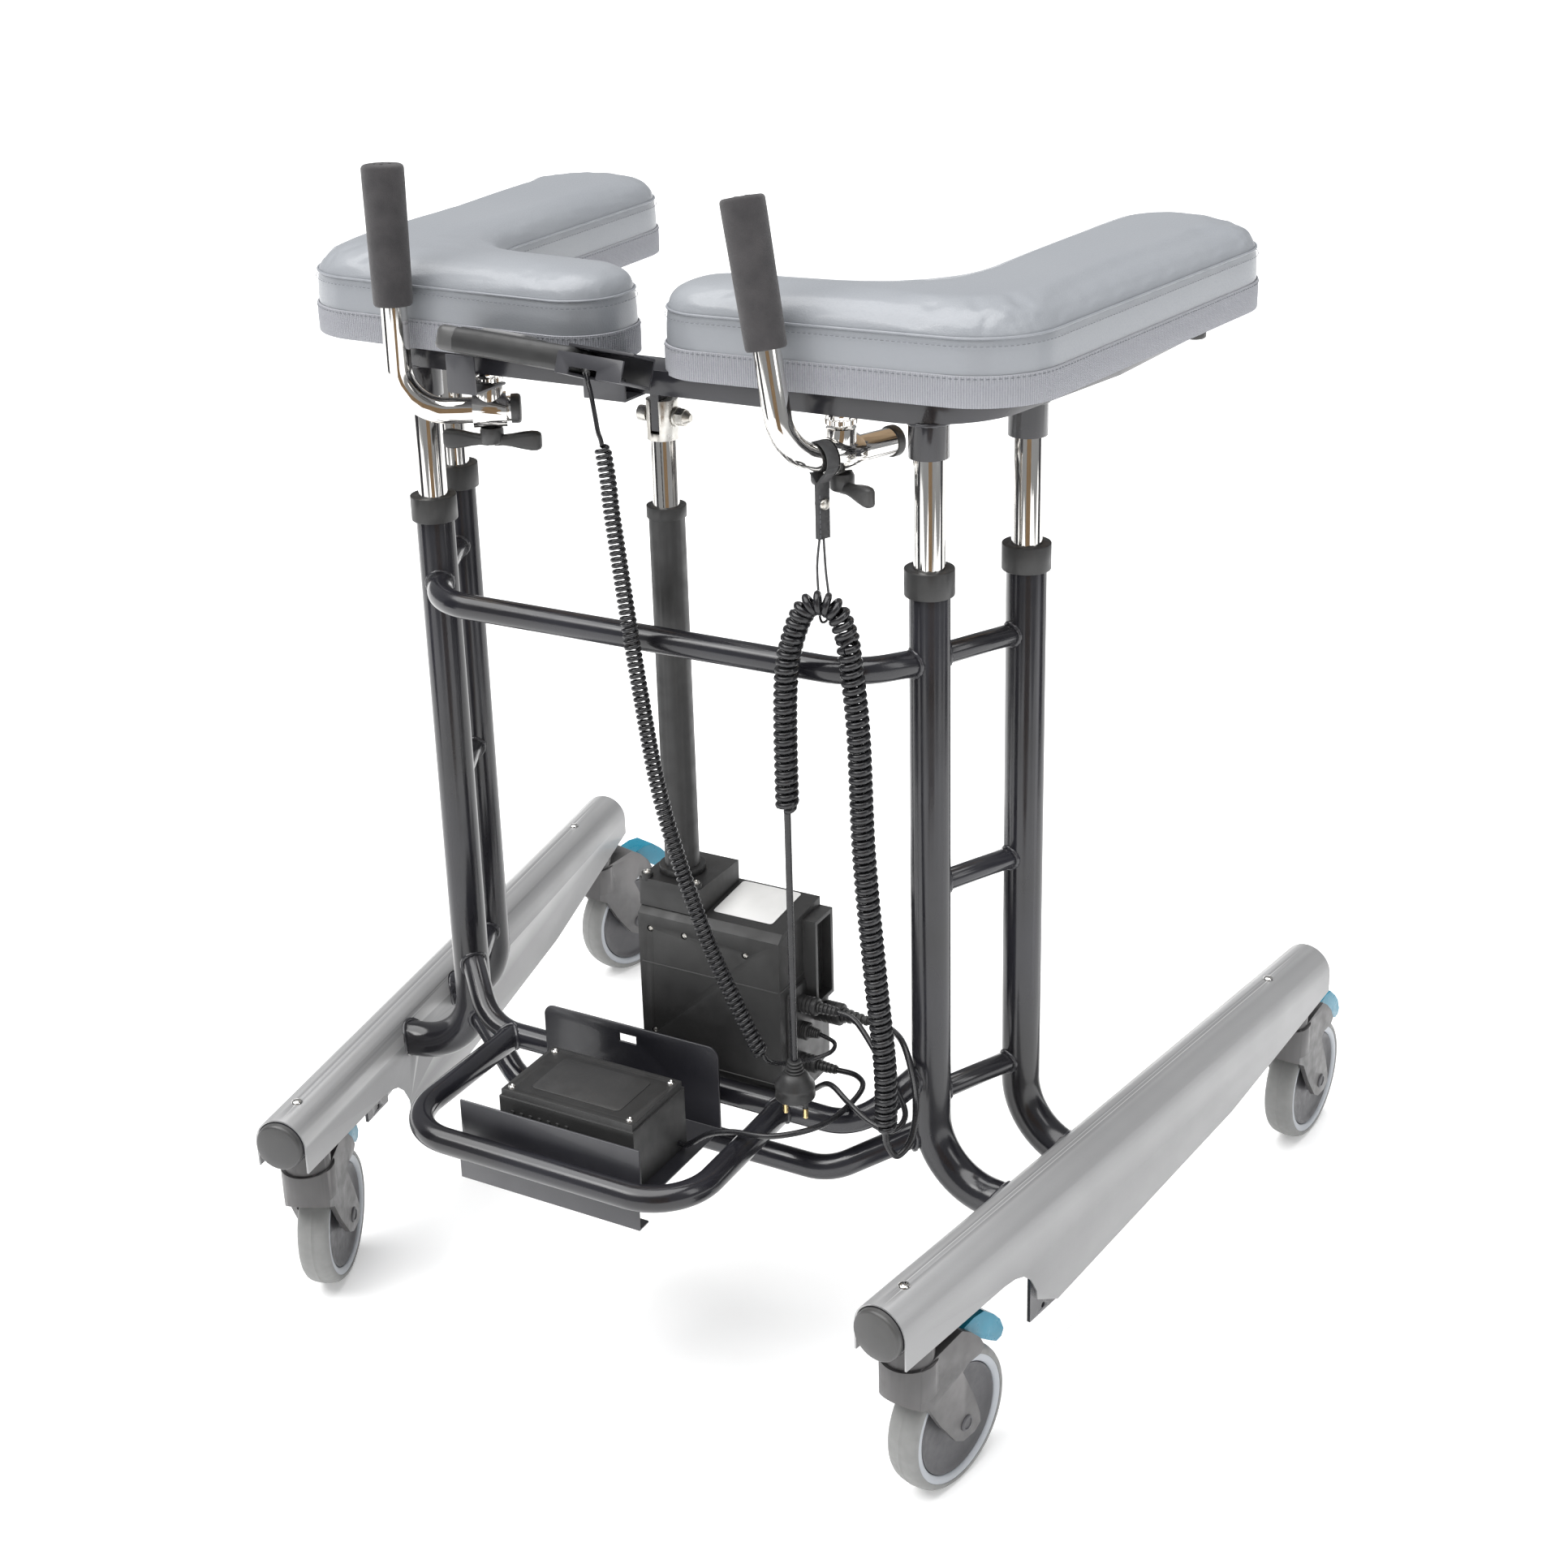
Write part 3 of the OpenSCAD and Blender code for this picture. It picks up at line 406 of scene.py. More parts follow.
def upholstery_vinyl():
    """Pale blue-grey vinyl with a pebbled grain."""
    vinyl = Surface("upholstery_vinyl", (0.262, 0.275, 0.297), 0.42, coat=0.2)
    vinyl.tint(vinyl.noise(5), (0.28, 0.293, 0.313))
    cells = vinyl.node("ShaderNodeTexVoronoi", feature="SMOOTH_F1")
    cells.inputs["Scale"].default_value = 750
    vinyl.link(vinyl.place, cells.inputs["Vector"])
    vinyl.vary_roughness(cells.outputs["Distance"], 0.4, 0.54)
    vinyl.bump(cells.outputs["Distance"], 0.00022, 0.55)
    vinyl.bump(vinyl.noise(120, 3), 0.0003, 0.25)
    return vinyl.material


def seam_thread():
    thread = Surface("seam_thread", (0.13, 0.137, 0.152), 0.7, sheen=0.1)
    thread.tint(thread.noise(300), (0.18, 0.188, 0.205))
    thread.bump(thread.noise(2500, 2), 0.0001, 0.6)
    return thread.material


def ribbed_webbing():
    """Woven band: its upright ribs are modelled, and the thread across them is bump."""
    web = Surface("ribbed_webbing", (0.25, 0.255, 0.285), 0.72, sheen=0.25)
    web.tint(web.noise(700, 2), (0.32, 0.325, 0.355), 0.8)
    web.tint(web.noise(60), (0.28, 0.285, 0.31), 0.5)
    # lighter convex edges on the ribs: wear and a painted edge highlight
    web.edge_wear_and_highlight((0.4, 0.405, 0.43), 0.5)
    picks = web.node("ShaderNodeTexWave", bands_direction="Z", wave_profile="SIN")
    picks.inputs["Scale"].default_value = 260
    picks.inputs["Distortion"].default_value = 1.5
    web.link(web.place, picks.inputs["Vector"])
    web.bump(picks.outputs["Fac"], 0.0003, 0.6)
    web.bump(web.noise(1800, 2), 0.0002, 0.5)
    return web.material


def plywood():
    board = Surface("plywood", (0.42, 0.3, 0.18), 0.6)
    board.tint(board.noise(20, 6, (1, 8, 8)), (0.3, 0.2, 0.11), 0.8)
    board.vary_roughness(board.noise(90), 0.5, 0.7)
    board.bump(board.noise(200, 4, (1, 10, 10)), 0.0002, 0.5)
    return board.material


def blank_label():
    label = Surface("blank_label", (0.8, 0.8, 0.79), 0.4)
    label.tint(label.noise(40), (0.74, 0.74, 0.73))
    label.bump(label.noise(500, 2), 0.00004, 0.3)
    return label.material


def cell_sleeve():
    sleeve = Surface("cell_sleeve", (0.04, 0.06, 0.13), 0.4)
    sleeve.tint(sleeve.noise(40), (0.06, 0.08, 0.17))
    sleeve.bump(sleeve.noise(300, 2), 0.0001, 0.4)
    return sleeve.material


# ---------------------------------------------------------------- meshes


def add_mesh(name, points, faces, material, sharp_angle=40):
    mesh = bpy.data.meshes.new(name)
    mesh.from_pydata([tuple(p) for p in points], [], faces)
    mesh.validate()
    mesh.materials.append(material)
    mesh.polygons.foreach_set("use_smooth", [True] * len(mesh.polygons))
    mesh.set_sharp_from_angle(angle=math.radians(sharp_angle))
    obj = bpy.data.objects.new(name, mesh)
    scene.collection.objects.link(obj)
    return obj


def attach(obj, body, slot, *replaced):
    """The piece rides on a body and stands for CAD nodes, which it hides; slot is not used."""
    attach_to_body(obj, body)
    if replaced:
        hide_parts(*replaced)
    return obj


def joined(parts):
    """Several (points, faces) shapes as one."""
    points, faces = [], []
    for some_points, some_faces in parts:
        start = len(points)
        points.extend(some_points)
        faces.extend(tuple(start + i for i in face) for face in some_faces)
    return points, faces


def carried_frames(line, closed=False):
    """A side and a second side for each point of a line, carried along it without twist."""
    line = np.asarray(line, float)
    ahead = np.roll(line, -1, 0) - line
    behind = line - np.roll(line, 1, 0)
    if not closed:
        ahead[-1] = behind[-1]
        behind[0] = ahead[0]
    along = ahead + behind
    along /= np.linalg.norm(along, axis=1)[:, None]
    side = np.cross(along[0], (0, 0, 1) if abs(along[0][2]) < 0.9 else (1, 0, 0))
    sides = []
    for direction in along:
        side = side - direction * (side @ direction)
        side = side / np.linalg.norm(side)
        sides.append(side)
    sides = np.array(sides)
    if closed:
        turned = np.arctan2(np.cross(along[0], sides[-1]) @ sides[0] * -1, sides[-1] @ sides[0])
        share = np.linspace(0, 1, len(line))[:, None] * -turned
        sides = sides * np.cos(share) + np.cross(along, sides) * np.sin(share)
    return sides, np.cross(along, sides)


def skinned(rings, closed=False):
    """The skin over rings of equal counts, capped at both ends unless it closes on itself."""
    count = len(rings[0])
    points = [point for ring in rings for point in ring]
    faces = []
    for i in range(len(rings) if closed else len(rings) - 1):
        here, there = i * count, (i + 1) % len(rings) * count
        for k in range(count):
            after = (k + 1) % count
            faces.append((here + k, here + after, there + after, there + k))
    if not closed:
        faces.append(tuple(range(count))[::-1])
        faces.append(tuple((len(rings) - 1) * count + k for k in range(count)))
    return points, faces


def round_angles(sides):
    return [2 * math.pi * k / sides for k in range(sides)]


def swept(line, radius, sides=10, closed=False):
    """A round tube along a line; radius is one number, or one for each point."""
    line = np.asarray(line, float)
    radii = np.broadcast_to(np.asarray(radius, float), (len(line),))
    first, second = carried_frames(line, closed)
    rings = []
    for centre, u, v, r in zip(line, first, second, radii):
        rings.append([centre + r * (u * math.cos(a) + v * math.sin(a)) for a in round_angles(sides)])
    return skinned(rings, closed)


def aimed(origin, axis):
    """The matrix of a frame at origin whose Z runs along axis."""
    matrix = Vector(axis).to_track_quat("Z", "Y").to_matrix().to_4x4()
    matrix.translation = origin
    return matrix


def turned(profile, matrix=Matrix.Identity(4), sides=40):
    """A turned shape: profile holds (radius, height) pairs, and a radius of 0 closes an end."""
    points, faces, rings = [], [], []
    for radius, height in profile:
        if radius == 0:
            rings.append([len(points)])
            points.append(matrix @ Vector((0, 0, height)))
            continue
        rings.append(list(range(len(points), len(points) + sides)))
        for a in round_angles(sides):
            points.append(matrix @ Vector((radius * math.cos(a), radius * math.sin(a), height)))
    for low, high in zip(rings, rings[1:]):
        for k in range(sides):
            after = (k + 1) % sides
            if len(low) == 1:
                faces.append((low[0], high[after], high[k]))
            elif len(high) == 1:
                faces.append((low[k], low[after], high[0]))
            else:
                faces.append((low[k], low[after], high[after], high[k]))
    return points, faces


def arc(centre_r, centre_h, radius, start, stop, steps=6):
    """Points of a round corner in a turned profile; angles in degrees from outwards to upwards."""
    angles = [math.radians(start + (stop - start) * k / steps) for k in range(steps + 1)]
    return [(centre_r + radius * math.cos(a), centre_h + radius * math.sin(a)) for a in angles]


def softened(node, name, material, width, segments=2, sharp_angle=30):
    """A CAD node's shape as a new piece with rounded edges."""
    shape = bmesh.new()
    shape.from_mesh(nodes[node].data)
    bmesh.ops.remove_doubles(shape, verts=shape.verts, dist=2e-6)
    bmesh.ops.dissolve_limit(shape, angle_limit=math.radians(1), verts=shape.verts, edges=shape.edges)
    mesh = bpy.data.meshes.new(name)
    shape.to_mesh(mesh)
    shape.free()
    mesh.materials.clear()
    mesh.materials.append(material)
    mesh.polygons.foreach_set("use_smooth", [True] * len(mesh.polygons))
    obj = bpy.data.objects.new(name, mesh)
    scene.collection.objects.link(obj)
    bevel = obj.modifiers.new("edges", "BEVEL")
    bevel.width = width
    bevel.segments = segments
    bevel.limit_method = "ANGLE"
    bevel.angle_limit = math.radians(sharp_angle)
    bevel.use_clamp_overlap = True
    bevel.harden_normals = True
    return obj


def slot_of(node):
    return next(part["material_slot"] for part in frame["record"]["subparts"] if part["node"] == node)


def soften_node(node, material, width, segments=2):
    """Rounds a CAD node's edges and lets the rounded piece stand for it."""
    piece = softened(node, node + "_shape", material, width, segments)
    return attach(piece, body_of[node], slot_of(node), node)


# ---------------------------------------------------------------- cords


def through(route, steps):
    """A smooth line through a route's points, with steps to each stretch."""
    points = [np.array(p, float) for p in route]
    last = len(points) - 1
    line = []
    for i in range(last):
        a, b, c, d = points[max(i - 1, 0)], points[i], points[i + 1], points[min(i + 2, last)]
        for k in range(steps):
            t = k / steps
            line.append(0.5 * (2 * b + (c - a) * t + (2 * a - 5 * b + 4 * c - d) * t * t
                               + (3 * b - a - 3 * c + d) * t ** 3))
    line.append(points[-1])
    return np.array([layout(*p) for p in line])


def arc_lengths(line):
    return np.concatenate([[0], np.cumsum(np.linalg.norm(np.diff(line, axis=0), axis=1))])


def curled(line, start, stop, radius, pitch, points_per_turn=14):
    """The line with a curl wound round it between two distances along it."""
    along = arc_lengths(line)
    sides, seconds = carried_frames(line)
    step = pitch / points_per_turn
    straight_before = along[along < start - step]
    straight_after = along[along > stop + step]
    wound = np.linspace(start, stop, int((stop - start) / step))
    where = np.concatenate([straight_before, wound, straight_after])
    centre = np.stack([np.interp(where, along, line[:, k]) for k in range(3)], 1)
    u = np.stack([np.interp(where, along, sides[:, k]) for k in range(3)], 1)
    v = np.stack([np.interp(where, along, seconds[:, k]) for k in range(3)], 1)
    inside = np.clip(np.minimum(where - start, stop - where) / (0.8 * pitch), 0, 1)
    reach = radius * inside * inside * (3 - 2 * inside)
    angle = 2 * math.pi * (where - start) / pitch
    return centre + reach[:, None] * (u * np.cos(angle)[:, None] + v * np.sin(angle)[:, None])


handset_route = [(-31.5, -129, 886), (-27, -135, 879), (-20, -141, 868), (-13, -147, 852), (-9, -150, 840),
                 (-6, -150, 830), (-2, -150, 800), (1, -150, 764), (17.5, -150, 629), (35, -150, 525),
                 (69, -150, 421), (105, -150, 346), (121, -149, 318), (125, -139, 307), (131, -122, 299),
                 (141, -103, 295), (151, -87, 296), (149, -76, 299), (133.1, -72, 301)]
feed_route = [(165.1, -40, 305), (185, -44, 306), (215, -74, 311), (243, -110, 290), (247, -126, 262),
              (240, -138, 249), (233, -142, 258), (231, -142, 272), (231, -142, 330), (223, -142, 415),
              (214, -141, 520), (210, -140, 624), (203, -140, 690)]
hung_route = [(202, -140, 698), (192, -142, 721), (172, -146, 722), (158, -149, 690), (152, -150, 645),
              (151, -150, 547), (151, -150, 535), (151, -150, 430), (151, -150, 322)]
battery_route = [(55.2, -182, 234), (66, -184, 237), (88, -188, 255), (112, -188, 264), (150, -187, 270),
                 (177, -157, 270), (181, -112, 266), (181, -86, 270), (168, -74, 271), (149.1, -72, 270)]
motor_route = [(151.1, -72, 327), (172, -76, 323), (214, -104, 300), (236, -116, 276), (228, -126, 262),
               (206, -124, 264), (182, -116, 272), (158, -104, 276), (130, -87, 253), (113.1, -86, 252)]


HANDSET_THICKNESS = 0.0038
MAINS_THICKNESS = 0.0058
LEAD_THICKNESS = 0.005
STRING_THICKNESS = 0.002


def nearest_length(line, point):
    """How far along the line its nearest point to a layout point lies."""
    gaps = np.linalg.norm(line - np.array(layout(*point)), axis=1)
    return arc_lengths(line)[int(np.argmin(gaps))]


def add_cord(name, node, path, thickness,
             sides=10, blended=None):
    """A mesh cord along its path."""
    obj = add_mesh(name, *swept(path, thickness / 2, sides), cord_material, 60)
    if blended:
        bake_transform(obj)
    else:
        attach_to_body(obj, body_of[node])
    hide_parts(node)
    return obj


def add_cords(plugs, mains_plug_parts):
    line = through(handset_route, 12)
    start, stop = (nearest_length(line, handset_route[i]) for i in (5, 12))
    path = curled(line, start, stop, radius=0.0051, pitch=0.0049)
    add_cord("handset_curly_cord", "handset_cord", path, HANDSET_THICKNESS,
             sides=8,
             blended=("frame", "armrest", Vector((0, 0, 0.33)), Vector((0, 0, 0.82))))
    whole = through(feed_route + hung_route, 12)
    start, stop = (nearest_length(whole, p) for p in (feed_route[7], hung_route[5]))
    path = curled(whole, start, stop, radius=0.007, pitch=0.0067)
    middle = np.array(layout(*feed_route[-1]))
    split = int(np.argmin(np.linalg.norm(path - middle, axis=1)))
    fed, hung = path[:split + 1], path[split:]
    add_cord("mains_curly_cord", "mains_cord_feed", fed, MAINS_THICKNESS,
             blended=("frame", "armrest", Vector((0, 0, 0.29)), Vector((0, 0, 0.68))))
    add_cord("mains_cord_end", "mains_cord_hung", hung, MAINS_THICKNESS)
    for name, route, end, plug in (("battery_lead", battery_route, "connector", "battery"),
                                   ("motor_lead", motor_route, "object", "motor")):
        path = through(route, 10)
        add_cord(name + "_tube", name, path, LEAD_THICKNESS)


def ribbed_relief(start_r, end_r, start, stop, ribs):
    """Profile of a tapered strain relief with rings moulded round it."""
    profile = []
    for k in range(ribs):
        low = start + (stop - start) * k / ribs
        pitch = (stop - start) / ribs
        outer = start_r + (end_r - start_r) * k / ribs
        profile += [(outer * 0.78, low), (outer, low + 0.12 * pitch), (outer, low + 0.58 * pitch),
                    (outer * 0.76, low + 0.7 * pitch)]
    return profile + [(end_r * 0.9, stop)]


def add_plugs():
    """The four plugs in the housing's side: a moulded body with finger ribs and a ribbed strain relief."""
    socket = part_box("cord_plugs")[0].x
    made = {}
    sizes = {"motor": (-72, 327, 0.007, 0.038), "handset": (-72, 301, 0.007, 0.020),
             "battery": (-72, 270, 0.007, 0.036), "mains": (-40, 305, 0.009, 0.052)}
    for name, (y, z, radius, length) in sizes.items():
        origin = layout(0, y, z)
        origin.x = socket
        body_end = 0.008 + 0.5 * length
        profile = [(0, 0.001), (radius * 0.9, 0.001), (radius - 0.0002, 0.008)]
        profile += arc(radius - 0.0005, 0.0095, 0.0015, -90, 0, 3)
        for k in range(3):
            low = 0.008 + 0.15 * length + k * 0.1 * length
            profile += [(radius + 0.001, low), (radius + 0.0002, low + 0.0004),
                        (radius + 0.0002, low + 0.0012), (radius + 0.001, low + 0.0016)]
        profile += arc(radius - 0.001, body_end - 0.002, 0.002, 0, 80, 4)
        profile += ribbed_relief(radius * 0.75, 0.0038, body_end, 0.008 + length, 5)
        profile += [(0, 0.008 + length)]
        plug = add_mesh(name + "_plug", *turned(profile, aimed(origin, (1, 0, 0)), 28), plug_material)
        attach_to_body(plug, "frame")
        made[name] = plug
    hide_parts("cord_plugs")
    return made


def add_mains_plug():
    """Two-pin mains plug that hangs by its cord, pins down."""
    low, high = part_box("mains_plug")
    centre = (low + high) / 2
    matrix = Matrix.Translation((centre.x, centre.y, high.z)) @ Matrix.Rotation(math.pi, 4, "X")
    profile = ribbed_relief(0.0058, 0.0085, 0.0, 0.011, 4)
    profile = [(0, 0.0)] + profile + [(0.0105, 0.0125), (0.0125, 0.016), (0.0162, 0.021)]
    profile += arc(0.0148, 0.0238, 0.0022, 0, 10, 1) + [(0.0158, 0.028), (0.017, 0.031)]
    profile += arc(0.0155, 0.0325, 0.0015, 0, 90, 4) + [(0, 0.034)]
    body = add_mesh("mains_plug_body", *turned(profile, matrix, 36), plug_material)
    pins = []
    sleeves = []
    for x in (-0.0095, 0.0095):
        pin = Matrix.Translation((centre.x + x, centre.y, high.z - 0.034)) @ Matrix.Rotation(math.pi, 4, "X")
        sleeves.append(turned([(0, -0.001), (0.0021, -0.001), (0.0021, 0.0095), (0, 0.0095)], pin, 20))
        pins.append(turned([(0, 0.009), (0.0024, 0.009), (0.0024, 0.0165)]
                           + arc(0.0002, 0.0167, 0.0022, 0, 90, 4)[:-1] + [(0, 0.0189)], pin, 20))
    attach(body, "armrest", slot_of("mains_plug"), "mains_plug")
    sleeve = attach(add_mesh("mains_plug_sleeves", *joined(sleeves), plug_material), "armrest", "cord_rubber")
    pin = attach(add_mesh("mains_plug_pins", *joined(pins), brass_material), "armrest", "steel")
    return [body, sleeve, pin]


# ---------------------------------------------------------------- welded frame

FRONT_COLUMN = (0.238, -0.170)
REAR_COLUMN = (0.281, -0.080)
COLUMN_RADIUS = 0.0165
LEG_START = (0.2963, -0.382)
LEG_ANGLE = math.radians(9.74)
LEG_HEIGHT = 0.191
LEG_ALONG = np.array([math.sin(LEG_ANGLE), math.cos(LEG_ANGLE), 0])
LEG_OUT = np.array([math.cos(LEG_ANGLE), -math.sin(LEG_ANGLE), 0])


def mirrored(points):
    return [(-p[0], p[1], p[2]) for p in points]


def on_leg(side, out, along, height):
    point = np.array([*LEG_START, 0]) + LEG_OUT * out + LEG_ALONG * along
    return np.array([side * point[0], point[1], height])


def saddle(centre, inwards, radius, axis_point, axis, main_radius, steps=44):
    """The closed line on which a tube pointing inwards meets the skin of a bigger one."""
    centre, inwards, axis_point, axis = (np.array(v, float) for v in (centre, inwards, axis_point, axis))
    inwards /= np.linalg.norm(inwards)
    axis /= np.linalg.norm(axis)
    first = np.cross(inwards, axis)
    first /= np.linalg.norm(first)
    second = np.cross(inwards, first)
    flat = inwards - axis * (inwards @ axis)
    line = []
    for k in range(steps):
        a = 2 * math.pi * k / steps
        point = centre + radius * (first * math.cos(a) + second * math.sin(a))
        off = point - axis_point
        off = off - axis * (off @ axis)
        half = off @ flat
        root = max(half * half - (flat @ flat) * (off @ off - main_radius ** 2), 0)
        line.append(point - inwards * (half + math.sqrt(root)) / (flat @ flat))
    return line


def bead(line, radius=0.0021):
    """A rippled weld round a joint."""
    ripple = [radius * (1 + 0.13 * math.sin(2.4 * k)) for k in range(len(line))]
    return swept(line, ripple, 8, closed=True)


def weld_lines():
    """Every welded joint on the right-hand side."""
    front, rear = np.array([*FRONT_COLUMN, 0]), np.array([*REAR_COLUMN, 0])
    upright = (0, 0, 1)
    lines = []
    for z in (0.270, 0.465, 0.664):
        for column, other in ((front, rear), (rear, front)):
            lines.append(saddle(column + (0, 0, z), column - other, 0.009, column, upright, COLUMN_RADIUS))
    bars = (((0.238, -0.170, 0.662), (0.6, 0.8, 0)), ((0.2376, -0.1704, 0.2966), (0.6, 0.514, 0.613)),
            ((0.2385, -0.170, 0.2364), (0.8, 0.417, 0.4316)))
    for centre, inwards in bars:
        lines.append(saddle(centre, inwards, 0.011, front + (0.0015, 0, 0), upright, COLUMN_RADIUS))
    for column in (front, rear):
        stub = column + LEG_OUT * 0.02 + (0, 0, LEG_HEIGHT)
        leg = np.array([*LEG_START, LEG_HEIGHT])
        lines.append(saddle(stub, LEG_OUT, COLUMN_RADIUS, leg, LEG_ALONG, 0.0247))
    return lines


def add_welds():
    right = weld_lines()
    lines = right + [mirrored(line) for line in right]
    for x in (-0.162, 0.118):
        lines.append(saddle((x, -0.212, 0.247), (0, 1, 0), 0.011, (0, -0.212, 0.247), (1, 0, 0), 0.0111))
    attach(add_mesh("weld_beads", *joined([bead(line) for line in lines]), frame_material, 60),
           "frame", "black_paint")
    rings = []
    for side in (-1, 1):
        for x, y in (FRONT_COLUMN, REAR_COLUMN):
            line = [(side * x + COLUMN_RADIUS * math.cos(a), y + COLUMN_RADIUS * math.sin(a), 0.8562)
                    for a in round_angles(40)]
            rings.append(bead(line, 0.0017))
    attach(add_mesh("sleeve_welds", *joined(rings), frame_material, 60), "armrest", "black_paint")


def add_frame():
    edges = {"front_columns": 0.0004, "rear_columns": 0.0004, "side_rungs": 0.0002, "upper_crossbar": 0.0002,
             "lower_crossbars": 0.0002, "tray_hoop": 0.0002, "leg_tubes": 0.0006, "armrest_bar": 0.0022}
    for node, width in edges.items():
        soften_node(node, frame_material, width)
    for node in ("battery_tray", "handset_holder"):
        soften_node(node, sheet_material, 0.0006)
    soften_node("leg_covers", cover_material, 0.0006)
    soften_node("leg_end_caps", end_material, 0.001)
    dome = [(0.0100, -0.001), (0.0222, -0.001)] + arc(0.0190, 0.0022, 0.0032, 0, 70, 5)
    dome += [(0.0120, 0.0062), (0.0060, 0.0066), (0, 0.0067)]
    caps = []
    for side in (-1, 1):
        for along, sign in ((-0.0032, -1), (0.7092, 1)):
            out = Vector((side * LEG_ALONG[0], LEG_ALONG[1], 0)) * sign
            caps.append(turned(dome, aimed(on_leg(side, 0, along, LEG_HEIGHT), out), 48))
    attach(add_mesh("leg_cap_domes", *joined(caps), end_material, 50), "frame", "dark_plastic")
    soften_node("column_collars", plastic_material, 0.0012)
    add_welds()


def add_rivets():
    head = [(0, 0.0), (0.0045, 0.0), (0.0049, 0.0004), (0.0046, 0.0011), (0.0032, 0.0019), (0.0012, 0.0022),
            (0, 0.0023)]
    rivets = []
    for side in (-1, 1):
        for along in (0.030, 0.632):
            rivets.append(turned(head, Matrix.Translation(on_leg(side, 0, along, 0.2158)), 24))
    piece = add_mesh("cover_rivet_heads", *joined(rivets), chrome_material)
    attach(piece, "frame", "steel", "cover_rivets")


# ---------------------------------------------------------------- lift, housing and battery


def rounded_rectangle(width, depth, radius, steps=5):
    points = []
    for k, (sx, sy) in enumerate(((1, 1), (-1, 1), (-1, -1), (1, -1))):
        for i in range(steps + 1):
            a = math.pi / 2 * (k + i / steps)
            points.append((sx * (width / 2 - radius) + radius * math.cos(a),
                           sy * (depth / 2 - radius) + radius * math.sin(a)))
    return points


def lofted(width, depth, radius, layers, matrix=Matrix.Identity(4)):
    """A slab with rounded corners; layers holds (inset, height) pairs from the bottom up."""
    rings = []
    for inset, height in layers:
        ring = rounded_rectangle(width - 2 * inset, depth - 2 * inset, max(radius - inset, 0.0003))
        rings.append([matrix @ Vector((x, y, height)) for x, y in ring])
    return skinned(rings)


def edged(height, bottom=0.0, rounding=0.001):
    """Layers of a slab whose top edge is rounded."""
    shoulder = 0.3 * rounding
    return [(0, bottom), (0, height - rounding), (shoulder, height - shoulder), (rounding, height)]


def domed_screw(matrix, radius=0.0028):
    """A domed screw head with a socket in it."""
    profile = [(0, -0.003), (radius, -0.003), (radius, 0.0), (radius * 0.86, radius * 0.3),
               (radius * 0.5, radius * 0.5), (radius * 0.42, radius * 0.5), (0, radius * 0.12)]
    return turned(profile, matrix, 20)


def add_lift():
    edges = {"lift_tubes": (chrome_material, 0.0004), "actuator_rod": (chrome_material, 0.0005),
             "rod_fork": (steel_material, 0.0008), "fork_bolt": (steel_material, 0.0006),
             "actuator_tube": (plastic_material, 0.0003), "spindle": (steel_material, 0.0005),
             "actuator_motor": (steel_material, 0.001), "caster_stems": (steel_material, 0.0006)}
    for node, (material, width) in edges.items():
        soften_node(node, material, width)


def add_housing():
    soften_node("actuator_housing", plastic_material, 0.003, 3)
    screws = [domed_screw(aimed(layout(x, -103.2, z), (0, -1, 0)))
              for x, z in ((-14, 385), (20, 385), (80, 380), (-14, 285))]
    screws += [domed_screw(aimed(layout(x, -96, 434.2), (0, 0, 1)), 0.0035) for x in (-20, 29)]
    attach(add_mesh("housing_screws", *joined(screws), steel_material), "frame", "steel")
    slope = Matrix.Translation(layout(68, -60, 407.6)) @ Matrix.Rotation(math.atan(6 / 67), 4, "X")
    label = lofted(0.058, 0.054, 0.003, edged(0.0005, 0, 0.0002), slope)
    attach(add_mesh("blank_label", *label, label_material), "frame", "dark_plastic")
    seams = []
    for z in (262, 352):
        front = [layout(-26.2 + 3, -105.1, z), layout(110, -105.1, z), layout(112.6, -104, z),
                 layout(113.1, -101, z), layout(113.1, -34, z)]
        seams.append(swept(front, 0.0006, 8))
    attach(add_mesh("housing_seams", *joined(seams), knob_material), "frame", "dark_plastic")
    plate = Matrix.Translation(layout(113, -58, 298)) @ Matrix.Rotation(math.pi / 2, 4, "Y")
    panel = lofted(0.094, 0.072, 0.006, edged(0.0022, 0, 0.0008), plate)
    attach(add_mesh("socket_panel", *panel, knob_material), "frame", "dark_plastic")


def add_battery():
    soften_node("battery_box", plastic_material, 0.0025, 3)
    soften_node("battery_cells", sleeve_material, 0.001)
    corners = [layout(x, y, 288) for x in (-70, 47) for y in (-242, -178)]
    heads = [domed_screw(Matrix.Translation(corner), 0.0034) for corner in corners]
    attach(add_mesh("battery_screws", *joined(heads), chrome_material), "frame", "steel")
    top = Matrix.Translation(layout(-11.5, -210, 288))
    panel = lofted(0.088, 0.052, 0.005, edged(0.0006, -0.001, 0.0003), top)
    attach(add_mesh("battery_lid_panel", *panel, knob_material), "frame", "dark_plastic")
    ribs = []
    for k in range(7):
        place = Matrix.Translation(layout(-65 + 9 * k, -250, 254)) @ Matrix.Rotation(math.pi / 2, 4, "X")
        ribs.append(lofted(0.0035, 0.034, 0.0012, edged(0.0011, -0.001, 0.0005), place))
    attach(add_mesh("battery_ribs", *joined(ribs), plastic_material), "frame", "dark_plastic")


# ---------------------------------------------------------------- handles, clamps, knobs and strap


def stud_frame(side, turn):
    """The frame of a handle: its origin on the clamp, Y along the arm towards the capped end."""
    return Matrix.Translation((side * 0.166, -0.176, 0.8235)) @ Matrix.Rotation(-math.radians(turn), 4, "Z")


HANDLES = {"right": (1, 21.6, 0.056, 12.3, 0.050, -30), "left": (-1, 57, 0.073, 2, 0.018, 19)}


